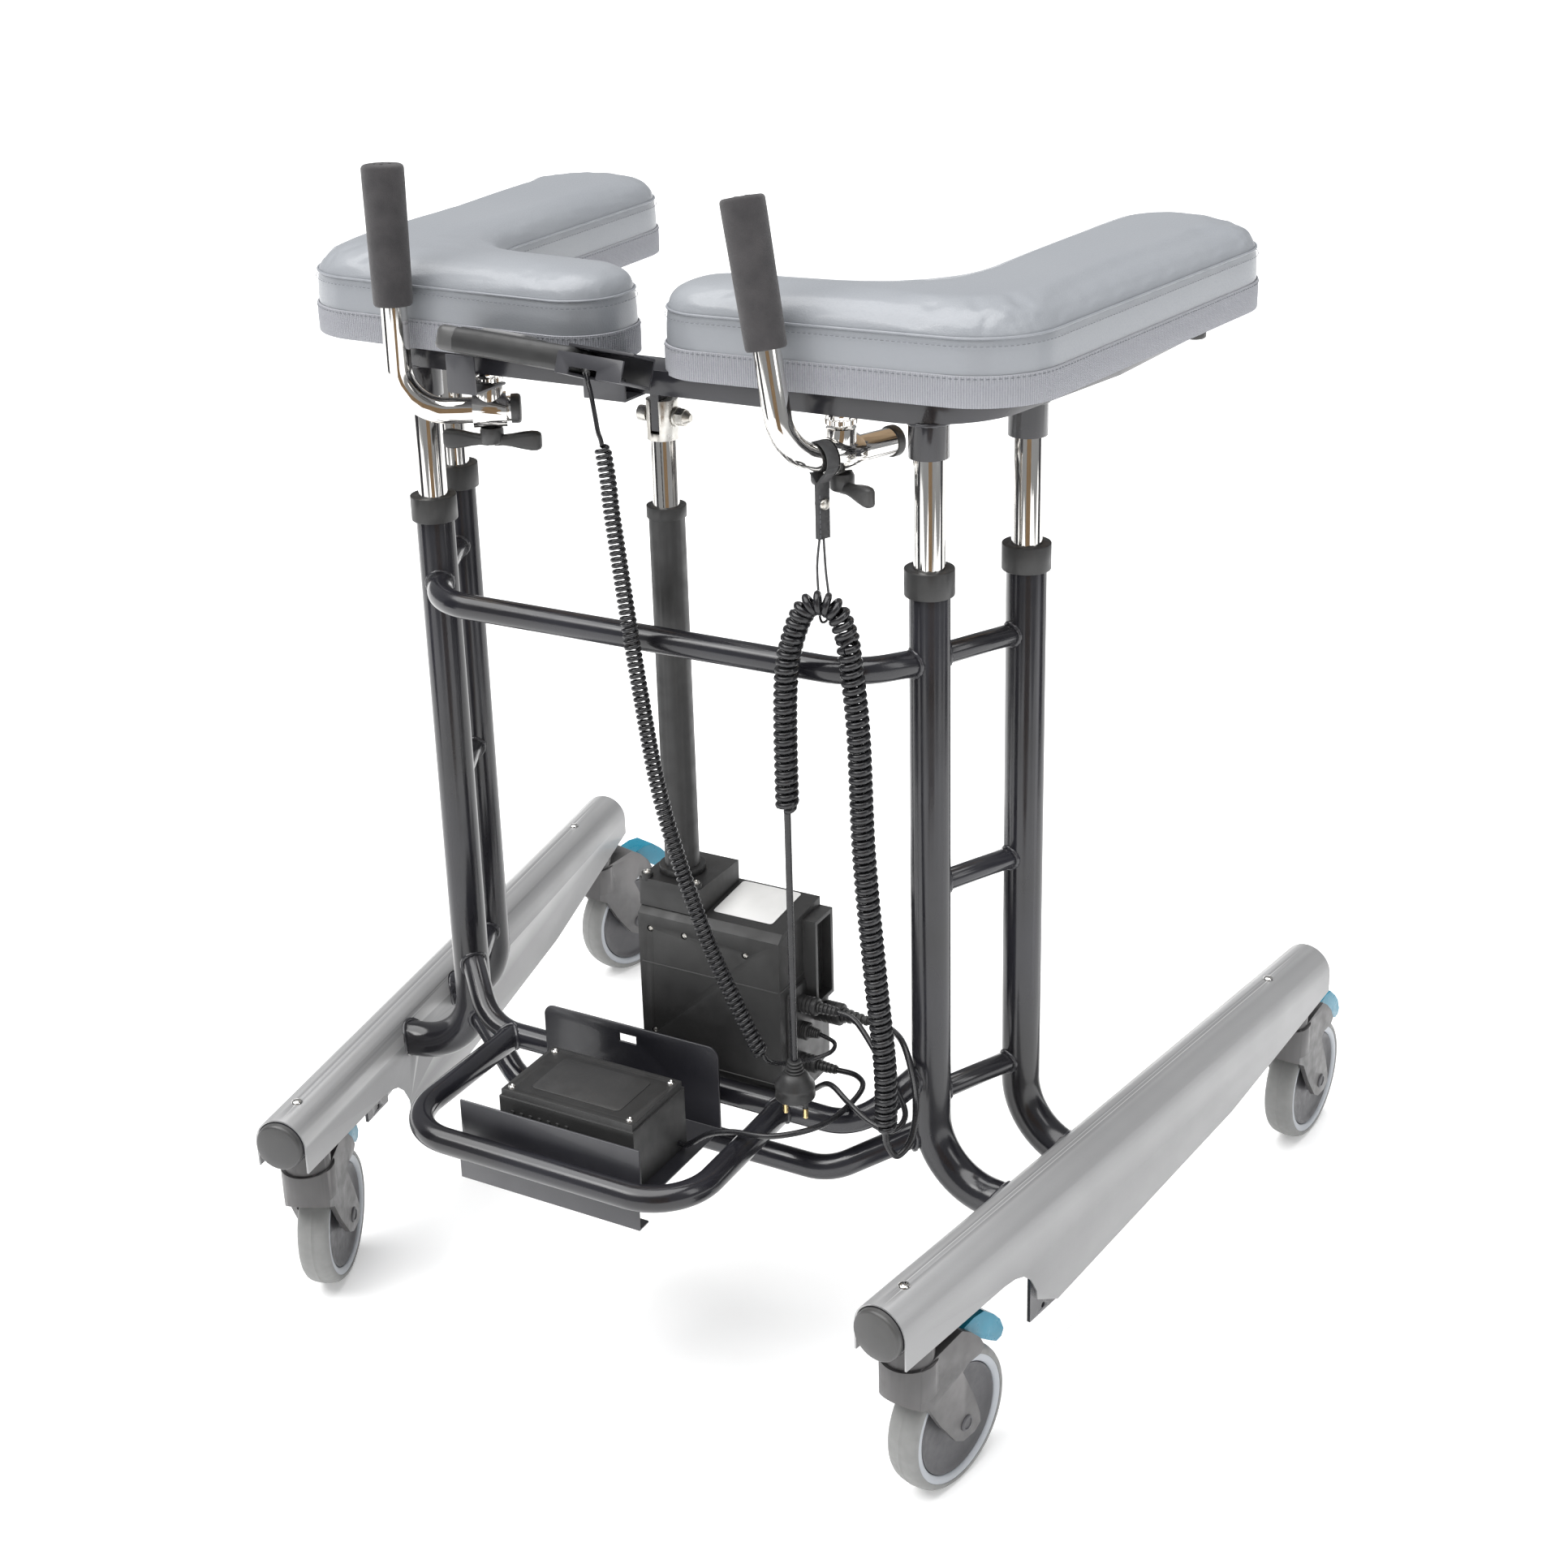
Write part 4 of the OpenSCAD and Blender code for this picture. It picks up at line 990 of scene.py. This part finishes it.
def knurled(radius, low, high, count, matrix):
    """A collar with ribs cut round it."""
    rings = []
    for share, height in ((0.94, low), (1, low + 0.0006), (1, high - 0.0006), (0.94, high)):
        ring = []
        for k, a in enumerate(round_angles(4 * count)):
            r = radius * (share if k % 4 < 2 else share * 0.94)
            ring.append(matrix @ Vector((r * math.cos(a), r * math.sin(a), height)))
        rings.append(ring)
    return skinned(rings)


def add_grip(name, side, turn, reach, lean):
    """Foam grip, slightly swollen, with a moulded end that has four small holes, drawn as dark discs of
    painted shade.
    """
    low, high = 0.09, 0.205
    matrix = stud_frame(side, turn) @ Matrix.Rotation(-math.radians(lean), 4, "Y")
    matrix = matrix @ Matrix.Translation((0, -reach, 0))
    profile = [(0.0118, low), (0.0150, low + 0.0004), (0.0161, low + 0.0022), (0.0163, low + 0.008)]
    profile += [(0.0163 + 0.0011 * k / 8, low + 0.008 + 0.092 * k / 8) for k in range(1, 9)]
    profile += arc(0.0139, high - 0.0036, 0.0035, 0, 90, 6) + [(0.006, high + 0.0002), (0, high + 0.0002)]
    grip = add_mesh("grip_" + name + "_foam", *turned(profile, matrix, 48), foam_material, 50)
    attach(grip, "handle_" + name[0], "grip_rubber", "grip_" + name)
    # Each hole is a low-rimmed disc in darker plastic: painted shade in place of the hole's depth.
    rim = [(0, 0.0), (0.0014, 0.0), (0.0015, 0.0003), (0.0010, 0.0003), (0, 0.00005)]
    rims = []
    for a in round_angles(4):
        eye = matrix @ Matrix.Translation((0.006 * math.cos(a), 0.006 * math.sin(a), high + 0.0001))
        rims.append(turned(rim, eye, 16))
    holes = add_mesh("grip_" + name + "_holes", *joined(rims), knob_material)
    attach(holes, "handle_" + name[0], "grip_rubber")


def add_knob(name, side, wings):
    """Two-winged clamping knob: paddles that deepen outwards from a round hub."""
    stations = [(0.003, 0.0120, 0.0100), (0.010, 0.0095, 0.0094), (0.017, 0.0088, 0.0112),
                (0.026, 0.0092, 0.0148), (0.034, 0.0096, 0.0170), (0.039, 0.0090, 0.0166),
                (0.0418, 0.0066, 0.0140), (0.0428, 0.0030, 0.0100)]
    hub = [(0, -0.0292), (0.0080, -0.0292), (0.0098, -0.0276), (0.0100, -0.0175), (0.0090, -0.0153),
           (0.0056, -0.0151), (0.0040, -0.0149), (0.0040, -0.0122), (0, -0.0122)]
    parts = [turned(hub, stud_frame(side, 0), 36)]
    for turn in (wings, wings + 180):
        arm = stud_frame(side, 0) @ Matrix.Rotation(math.radians(turn), 4, "Z")
        rings = []
        for reach, width, height in stations:
            ring = rounded_rectangle(width, height, min(width, height) * 0.42, 4)
            rings.append([arm @ Vector((reach, x, -0.0262 + z)) for x, z in ring])
        parts.append(skinned(rings))
    knob = add_mesh("knob_" + name + "_wings", *joined(parts), knob_material, 50)
    attach(knob, "knob_" + name[0], "dark_plastic", "knob_" + name)


def add_handles():
    for name, (side, turn, reach, lean, tail, wings) in HANDLES.items():
        soften_node("handle_" + name, chrome_material, 0.0006)
        soften_node("clamp_" + name, chrome_material, 0.0012)
        add_knob(name, side, wings)
        add_grip(name, side, turn, reach, lean)
        cap = [(0, 0.0), (0.0124, 0.0), (0.0126, 0.0006), (0.0126, 0.0052)]
        cap += arc(0.0096, 0.0052, 0.003, 0, 80, 4) + [(0, 0.0086)]
        end = stud_frame(side, turn) @ Matrix.Translation((0, tail - 0.0004, 0))
        cap = turned(cap, end @ Matrix.Rotation(-math.pi / 2, 4, "X"), 36)
        attach(add_mesh("arm_cap_" + name, *cap, knob_material), "handle_" + name[0], "dark_plastic")
    studs = [Matrix.Translation((x, -0.176, 0.8472)) for x in (-0.166, 0.166)]
    collars = [knurled(0.0128, 0.0006, 0.0052, 26, stud) for stud in studs]
    soften_node("clamp_studs", chrome_material, 0.0006)
    attach(add_mesh("stud_knurls", *joined(collars), chrome_material), "armrest", "chrome")


def add_strap():
    soften_node("cord_strap", strap_material, 0.0005)
    turn = HANDLES["right"][1]
    frame_of_strap = stud_frame(1, turn) @ Matrix.Translation((0, -0.0205, -0.036))
    dome = [(0, 0.0), (0.0047, 0.0), (0.0047, 0.0008), (0.0039, 0.0022), (0.0020, 0.003), (0, 0.0032)]
    domes = []
    for sign in (-1, 1):
        place = frame_of_strap @ Matrix.Translation((sign * 0.0026, 0, 0))
        place = place @ Matrix.Rotation(sign * math.pi / 2, 4, "Y")
        domes.append(turned(dome, place, 24))
    attach(add_mesh("strap_rivet", *joined(domes), steel_material), "clamp_r", "steel")
    stitches = []
    for edge in (-0.0046, 0.0046):
        for sign in (-1, 1):
            for k in range(9):
                top = 0.008 - 0.004 * k
                ends = [frame_of_strap @ Vector((sign * 0.00255, edge, z)) for z in (top, top - 0.0026)]
                stitches.append(swept(ends, 0.0003, 5))
    attach(add_mesh("strap_stitches", *joined(stitches), thread_material), "clamp_r", "strap_fabric")


def add_string():
    """Thin string that hangs from the strap and runs through the cord's top turn."""
    route = [(157, -98, 760), (163, -114, 743), (172, -129, 723), (177, -137, 711), (181, -140, 708),
             (184, -137, 711), (181, -129, 722), (171, -115, 741), (160, -97, 760)]
    path = through(route, 4)
    obj = add_mesh("hanging_string_loop", *swept(path, STRING_THICKNESS / 2, 8), strap_material, 60)
    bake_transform(obj)
    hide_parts("hanging_string")


# ---------------------------------------------------------------- handset


def add_handset():
    place = Matrix.Translation(layout(-100, -126, 891))
    place = place @ Matrix.Rotation(math.radians(3), 4, "Y") @ Matrix.Rotation(math.radians(-20), 4, "X")
    body = lofted(0.130, 0.042, 0.0075, [(0.005, -0.010), (0.0015, -0.0088), (0.0002, -0.0060), (0, 0.0),
                                         (0.0002, 0.0052), (0.0014, 0.0082), (0.0042, 0.0098)], place)
    attach(add_mesh("handset_shell", *body, plastic_material, 50), "armrest", "dark_plastic", "handset_body")
    face = place @ Matrix.Translation((-0.008, 0, 0))
    bezel = lofted(0.078, 0.031, 0.006, [(0, 0.009), (0, 0.0102), (0.0004, 0.0106), (0.0012, 0.0108)], face)
    attach(add_mesh("handset_bezel", *bezel, knob_material), "armrest", "dark_plastic")
    end = place @ Matrix.Translation((-0.0535, 0, 0))
    cap = lofted(0.0242, 0.0424, 0.0076, [(0.005, -0.0102), (0.0014, -0.0090), (0, -0.0062), (0, 0.0052),
                                          (0.0013, 0.0084), (0.004, 0.0100)], end)
    attach(add_mesh("handset_end", *cap, end_material, 50), "armrest", "dark_plastic")
    layers = [(0, 0.0106), (0, 0.0120), (0.0005, 0.0128), (0.0016, 0.0132), (0.006, 0.0126)]
    rocker = add_mesh("handset_rocker_key", *lofted(0.042, 0.0215, 0.004, layers, face), rocker_material, 50)
    attach(rocker, "rocker", "rocker_plastic", "handset_rocker")
    arrow = [(0, 0.0), (0.0034, 0.0), (0.0034, 0.0007), (0.0030, 0.0010), (0, 0.0010)]
    arrows = []
    for sign in (-1, 1):
        tip = face @ Matrix.Translation((sign * 0.0125, 0, 0.0124))
        tip = tip @ Matrix.Rotation(sign * math.pi / 2, 4, "Z")
        arrows.append(turned(arrow, tip, 3))
    attach(add_mesh("handset_arrows", *joined(arrows), label_material), "rocker", "rocker_plastic")
    exit_point = layout(*handset_route[0])
    relief = turned(ribbed_relief(0.0042, 0.0027, -0.004, 0.016, 4) + [(0, 0.016)],
                    aimed(exit_point + Vector((-0.004, 0.004, 0.004)), (0.5, -0.56, -0.66)), 20)
    attach(add_mesh("handset_relief", *relief, plug_material), "armrest", "cord_rubber")


# ---------------------------------------------------------------- casters

YAW = {"front_left": 22.9, "front_right": -12.3, "rear_left": -14.0, "rear_right": -6.3}
TRAIL = 0.048
WHEEL_RADIUS = 0.0625


def caster_frame(corner):
    """A caster's own frame: the stem on Z, the wheel trailing along Y."""
    end, side = corner.split("_")
    stem = on_leg(1 if side == "right" else -1, 0, 0.0355 if end == "front" else 0.6768, 0)
    return Matrix.Translation(stem) @ Matrix.Rotation(math.radians(YAW[corner]), 4, "Z")


def add_wheel(corner):
    """Soft grey tyre with a fine mould line, pale ring and dark disc."""
    hub = caster_frame(corner) @ Matrix.Translation((0, TRAIL, WHEEL_RADIUS))
    axle = hub @ Matrix.Rotation(math.pi / 2, 4, "Y")
    body = "wheel_body_" + corner
    half = 0.0145
    tread = [(0.0550, -half), (0.0580, -half + 0.0002), (0.0598, -0.0128), (0.0612, -0.0105),
             (0.0621, -0.0070), (0.0625, -0.0035), (0.0625, -0.0006), (0.06275, -0.0002)]
    tyre = tread + [(r, -h) for r, h in tread[::-1]]
    closed_tyre = [(0.0545, -half + 0.0012)] + tyre + [(0.0545, half - 0.0012), (0.0545, -half + 0.0012)]
    piece = add_mesh("tyre_" + corner, *turned(closed_tyre, axle, 96), tyre_material, 50)
    attach(piece, body, "wheel_tyre", "wheel_" + corner)
    rings, discs = [], []
    for sign in (-1, 1):
        side = axle @ Matrix.Rotation(0 if sign > 0 else math.pi, 4, "X")
        ring = [(0.0484, 0.0060), (0.0484, 0.0118), (0.0490, 0.0130), (0.0506, 0.0139), (0.0532, 0.0143),
                (0.0549, 0.0140), (0.0551, 0.0060), (0.0484, 0.0060)]
        rings.append(turned(ring, side, 80))
        disc = [(0.0046, 0.0), (0.0046, 0.0132), (0.0070, 0.0136), (0.0112, 0.0134), (0.0120, 0.0128),
                (0.0132, 0.0100), (0.0160, 0.0088), (0.0240, 0.0086), (0.0380, 0.0092), (0.0440, 0.0104),
                (0.0466, 0.0122), (0.0476, 0.0122), (0.0482, 0.0108), (0.0483, 0.0)]
        discs.append(turned(disc + [disc[0]], side, 72))
    attach(add_mesh("rim_ring_" + corner, *joined(rings), ring_material, 40), body, "wheel_tyre")
    attach(add_mesh("wheel_disc_" + corner, *joined(discs), disc_material, 40), body, "wheel_tyre")


def add_fork(corner):
    soften_node("fork_" + corner, caster_material, 0.0026, 3)
    place = caster_frame(corner)
    body = body_of["fork_" + corner]
    cap = [(0, 0.0), (0.0072, 0.0), (0.0072, 0.0010), (0.0064, 0.0018), (0.0050, 0.0020), (0.0046, 0.0012),
           (0.0020, 0.0010), (0, 0.0010)]
    caps = []
    for sign in (-1, 1):
        side = place @ Matrix.Translation((sign * 0.0206, TRAIL, WHEEL_RADIUS))
        side = side @ Matrix.Rotation(sign * math.pi / 2, 4, "Y")
        caps.append(turned(cap, side, 28))
    attach(add_mesh("axle_caps_" + corner, *joined(caps), disc_material), body, "caster_plastic")
    collar = turned([(0.0100, 0.1675), (0.0205, 0.1675), (0.0209, 0.1682), (0.0206, 0.1690), (0.0150, 0.1698),
                     (0.0100, 0.1698), (0.0100, 0.1675)], place, 40)
    attach(add_mesh("swivel_ring_" + corner, *collar, disc_material), body, "caster_plastic")


def add_pedal(corner):
    """Smooth beak-shaped brake pedal, its long edges well rounded."""
    soften_node("pedal_" + corner, pedal_material, 0.0034, 4)


# ---------------------------------------------------------------- cushions

CUSHION_PLAN = [(6, -101.5), (320, -89.5), (374, 385), (222, 385), (200, 10), (6, -6)]
CUSHION_ROUNDS = [44, 70, 74, 70, 85, 44]
CUSHION_SHIFT = -0.036
SEAM_HEIGHT = 0.9265
BAND_TOP = 0.899
BAND_FOOT = 0.8742


def cushion_outline(spacing):
    """The right cushion's plan with its round corners, as evenly spaced points, counter-clockwise."""
    line = []
    corners = [np.array(p, float) for p in CUSHION_PLAN]
    for i, radius in enumerate(CUSHION_ROUNDS):
        before, here, after = corners[i - 1], corners[i], corners[(i + 1) % len(corners)]
        u = (before - here) / np.linalg.norm(before - here)
        v = (after - here) / np.linalg.norm(after - here)
        middle = (u + v) / np.linalg.norm(u + v)
        centre = here + middle * radius / math.sqrt((1 - u @ v) / 2)
        start = here + u * ((centre - here) @ u) - centre
        stop = here + v * ((centre - here) @ v) - centre
        first, last = math.atan2(start[1], start[0]), math.atan2(stop[1], stop[0])
        sweep = (last - first + 3 * math.pi) % (2 * math.pi) - math.pi
        for k in range(25):
            a = first + sweep * k / 24
            line.append(centre + radius * np.array([math.cos(a), math.sin(a)]))
    line = np.array([(x, y - 100) for x, y in line]) / 1000
    ring = np.vstack([line, line[:1]])
    along = arc_lengths(ring)
    where = np.linspace(0, along[-1], int(round(along[-1] / spacing)) + 1)[:-1]
    return np.stack([np.interp(where, along, ring[:, k]) for k in range(2)], 1)


def outward(line):
    ahead = np.roll(line, -1, 0) - np.roll(line, 1, 0)
    ahead /= np.linalg.norm(ahead, axis=1)[:, None]
    return np.stack([ahead[:, 1], -ahead[:, 0]], 1)


def cushion_shell():
    """A closed pad, a little smaller than the finished one, ready to be blown up."""
    line = cushion_outline(0.006)
    out = outward(line)
    layers = [(-0.0060, 0.8776), (-0.0016, 0.8776), (-0.0003, 0.8800), (-0.0001, 0.9000), (-0.0003, 0.9120),
              (-0.0010, 0.9200), (-0.0020, SEAM_HEIGHT)]
    for depth in (0.0034, 0.0055, 0.0085, 0.0125, 0.0180, 0.0250, 0.0330):
        share = 1 - (depth - 0.0020) / 0.0340
        layers.append((-depth, SEAM_HEIGHT + 0.0205 * (1 - share ** 2.2) ** (1 / 2.2)))
    return skinned([[(*p, height) for p in line + out * offset] for offset, height in layers])


def remeshed(points, faces, voxel):
    mesh = bpy.data.meshes.new("pad_start")
    mesh.from_pydata([tuple(p) for p in points], [], faces)
    obj = bpy.data.objects.new("pad_start", mesh)
    scene.collection.objects.link(obj)
    remesh = obj.modifiers.new("even", "REMESH")
    remesh.mode = "VOXEL"
    remesh.voxel_size = voxel
    even = bpy.data.meshes.new_from_object(obj.evaluated_get(bpy.context.evaluated_depsgraph_get()))
    bpy.data.objects.remove(obj)
    return even


def coordinates(mesh):
    flat = np.empty(3 * len(mesh.vertices))
    mesh.vertices.foreach_get("co", flat)
    return flat.reshape(-1, 3)


def inflated(mesh, held, frames=16, cap=0.003):
    """The mesh after air pressure has swelled it, held at the given points."""
    obj = bpy.data.objects.new("pad_air", mesh.copy())
    scene.collection.objects.link(obj)
    group = obj.vertex_groups.new(name="held")
    group.add([int(i) for i in np.flatnonzero(held)], 1.0, "REPLACE")
    cloth = obj.modifiers.new("air", "CLOTH")
    settings = cloth.settings
    settings.quality = 5
    settings.mass = 0.3
    settings.tension_stiffness = 12
    settings.compression_stiffness = 12
    settings.shear_stiffness = 5
    settings.bending_stiffness = 0.8
    settings.use_pressure = True
    settings.uniform_pressure_force = 3
    settings.vertex_group_mass = "held"
    settings.effector_weights.gravity = 0
    cloth.point_cache.frame_start = 1
    cloth.point_cache.frame_end = frames
    for number in range(1, frames + 1):
        scene.frame_set(number)
    swelled = bpy.data.meshes.new_from_object(obj.evaluated_get(bpy.context.evaluated_depsgraph_get()))
    before, after = coordinates(mesh), coordinates(swelled)
    scene.frame_set(1)
    bpy.data.objects.remove(obj)
    move = after - before
    far = np.linalg.norm(move, axis=1)
    move *= np.minimum(1, cap / np.maximum(far, 1e-9))[:, None]
    return before + move


def depth_inside(points, line):
    gaps = [np.min(np.linalg.norm(line - p, axis=1)) for p in points]
    return np.array(gaps)


def cushion_surface():
    """Vertices and faces of the right cushion after its air, crown and seam puckers."""
    mesh = remeshed(*cushion_shell(), 0.005)
    points = coordinates(mesh)
    line = cushion_outline(0.003)
    depth = depth_inside(points[:, :2], line)
    seam = (np.abs(points[:, 2] - SEAM_HEIGHT) < 0.0028) & (depth < 0.0055)
    held = (points[:, 2] < 0.884) | seam
    points = inflated(mesh, held)
    along = np.arctan2(points[:, 1] + 0.05, points[:, 0] - 0.2)
    near = np.exp(-((depth - 0.010) / 0.007) ** 2) * (points[:, 2] > SEAM_HEIGHT + 0.001)
    x, y = points[:, 0], points[:, 1]
    pucker = 0.0004 * np.sin(x * 210 + 1.3 * np.sin(y * 90)) * np.sin(y * 170)
    points[:, 2] += near * pucker + near * 0.0002 * np.sin(24 * along)
    return points, [tuple(face.vertices) for face in mesh.polygons]


def for_side(points, side):
    """Right-cushion points, or their mirror image moved to the left cushion's place."""
    points = np.array(points, float)
    if side == "left":
        points = points * (-1, 1, 1) + (CUSHION_SHIFT, 0, 0)
    return points


def facing(faces, side):
    return [face[::-1] for face in faces] if side == "left" else faces


def add_band(side):
    """Ribbed webbing round the cushion's foot and a hem at its top."""
    line = cushion_outline(0.0005)
    line = line[:len(line) // 4 * 4]
    out = outward(line)
    rib = np.tile([0.0, 0.00045, 0.00045, 0.0], len(line) // 4)
    rows = [(0.0003, 0, BAND_FOOT), (0.0011, 1, BAND_FOOT + 0.0002), (0.0013, 1, 0.8890),
            (0.0011, 1, BAND_TOP - 0.0006), (0.0003, 0, BAND_TOP)]
    rings = [[(*p, height) for p in line + out * (offset + ribbed * rib)[:, None]]
             for offset, ribbed, height in rows]
    points, faces = skinned(rings, closed=True)
    points, faces = for_side(points, side), facing(faces, side)
    band = add_mesh("webbing_band_" + side, points, faces, webbing_material, 35)
    attach(band, "armrest", "vinyl")


def level_line(offset, height, spacing=0.004):
    line = cushion_outline(spacing)
    return np.array([(*p, height) for p in line + outward(line) * offset])


def stitch_row(offset, height, pitch=0.0046, length=0.0031):
    line = level_line(offset, height, pitch)
    ahead = np.roll(line, -1, 0) - line
    ahead /= np.linalg.norm(ahead, axis=1)[:, None]
    stitches = []
    for point, direction in zip(line, ahead):
        ends = [point + direction * length * t for t in (-0.5, -0.3, 0.3, 0.5)]
        stitches.append(swept(ends, (0.0001, 0.00036, 0.00036, 0.0001), 6))
    return stitches


def upright_seam(place):
    """A double row of stitches with a low fold between, at a share of the way round the outline."""
    line = cushion_outline(0.001)
    out = outward(line)
    start = int(place * len(line))
    parts = []
    for step, radius in ((-3, 0.0003), (3, 0.0003)):
        p, n = line[(start + step) % len(line)], out[(start + step) % len(line)]
        for k in range(12):
            z = 0.8770 + 0.0042 * k
            proud = 0.0018 if z < BAND_TOP else 0.0006
            ends = [(*(p + n * proud), z + 0.0030 * t) for t in (0, 0.3, 0.7, 1)]
            parts.append(swept(ends, (0.0001, radius, radius, 0.0001), 6))
    p, n = line[start], out[start]
    heights = np.linspace(0.876, SEAM_HEIGHT - 0.001, 24)
    fold = [(*(p + n * (0.0013 if z < BAND_TOP else 0.0001)), z) for z in heights]
    parts.append(swept(fold, 0.0008, 8))
    return parts


def add_cushions():
    points, faces = cushion_surface()
    for side in ("right", "left"):
        shape = for_side(points, side), facing(faces, side)
        pad = add_mesh("cushion_" + side + "_pad", *shape, vinyl_material, 180)
        smooth = pad.modifiers.new("smooth", "SUBSURF")
        smooth.levels = smooth.render_levels = 1
        attach(pad, "armrest", "vinyl", "cushion_" + side)
        piping = for_side(level_line(-0.0014, SEAM_HEIGHT), side)
        welt = swept(piping, 0.0010, 10, closed=True)
        welt = add_mesh("cushion_" + side + "_piping", *welt, piping_material, 60)
        attach(welt, "armrest", "vinyl")
        rows = stitch_row(0.0004, SEAM_HEIGHT - 0.0058) + stitch_row(0.0018, BAND_TOP - 0.0024)
        if side == "left":
            rows += upright_seam(0.965)
        stitches, stitch_faces = joined(rows)
        stitches = for_side(stitches, side)
        thread = add_mesh("cushion_" + side + "_stitches", stitches, stitch_faces, thread_material)
        attach(thread, "armrest", "vinyl")
        add_band(side)
    soften_node("cushion_boards", plywood_material, 0.0012)
    feet = []
    for side in ("right", "left"):
        centre = for_side([(0.345, 0.122, 0.868)], side)[0]
        profile = [(0, -0.0002)] + arc(0.0078, 0.0022, 0.0024, -90, 0, 4)
        profile += [(0.0101, 0.0050), (0.0088, 0.0062), (0.0088, 0.0094), (0, 0.0094)]
        feet.append(turned(profile, Matrix.Translation(centre), 32))
    attach(add_mesh("cushion_feet", *joined(feet), knob_material), "armrest", "dark_plastic")


add_camera()
frame_material = frame_paint()
sheet_material = sheet_paint()
cover_material = cover_paint()
chrome_material = chrome_plate()
steel_material = zinc_steel()
brass_material = brass_pin()
plastic_material = moulded_black()
knob_material = moulded_black("knob_moulding", 0.022, 0.4)
cord_material = cord_jacket()
plug_material = moulded_black("plug_moulding", 0.02, 0.42)
rocker_material = moulded_black("rocker_moulding", 0.1, 0.45)
end_material = moulded_black("end_moulding", 0.04, 0.36)
strap_material = woven_strap()
caster_material = caster_moulding()
pedal_material = pedal_moulding()
tyre_material = tyre_rubber()
ring_material = rim_ring()
disc_material = wheel_disc()
foam_material = grip_foam()
vinyl_material = upholstery_vinyl()
piping_material = piping_vinyl()
thread_material = seam_thread()
webbing_material = ribbed_webbing()
plywood_material = plywood()
label_material = blank_label()
sleeve_material = cell_sleeve()

add_studio()
add_floor()
add_flag("front_flag", 28, 3.2, 1.5, (0.22, 0.15, 0.09))
add_flag("left_flag", -55, 3.2, 1.2, (0.05, 0.05, 0.055))
add_flag("right_flag", 110, 3.2, 1.2, (0.05, 0.05, 0.055))
add_cords(add_plugs(), add_mains_plug())
add_string()
add_frame()
add_rivets()
add_lift()
add_housing()
add_battery()
add_handles()
add_strap()
add_handset()
for corner in YAW:
    add_wheel(corner)
    add_fork(corner)
    add_pedal(corner)
add_cushions()
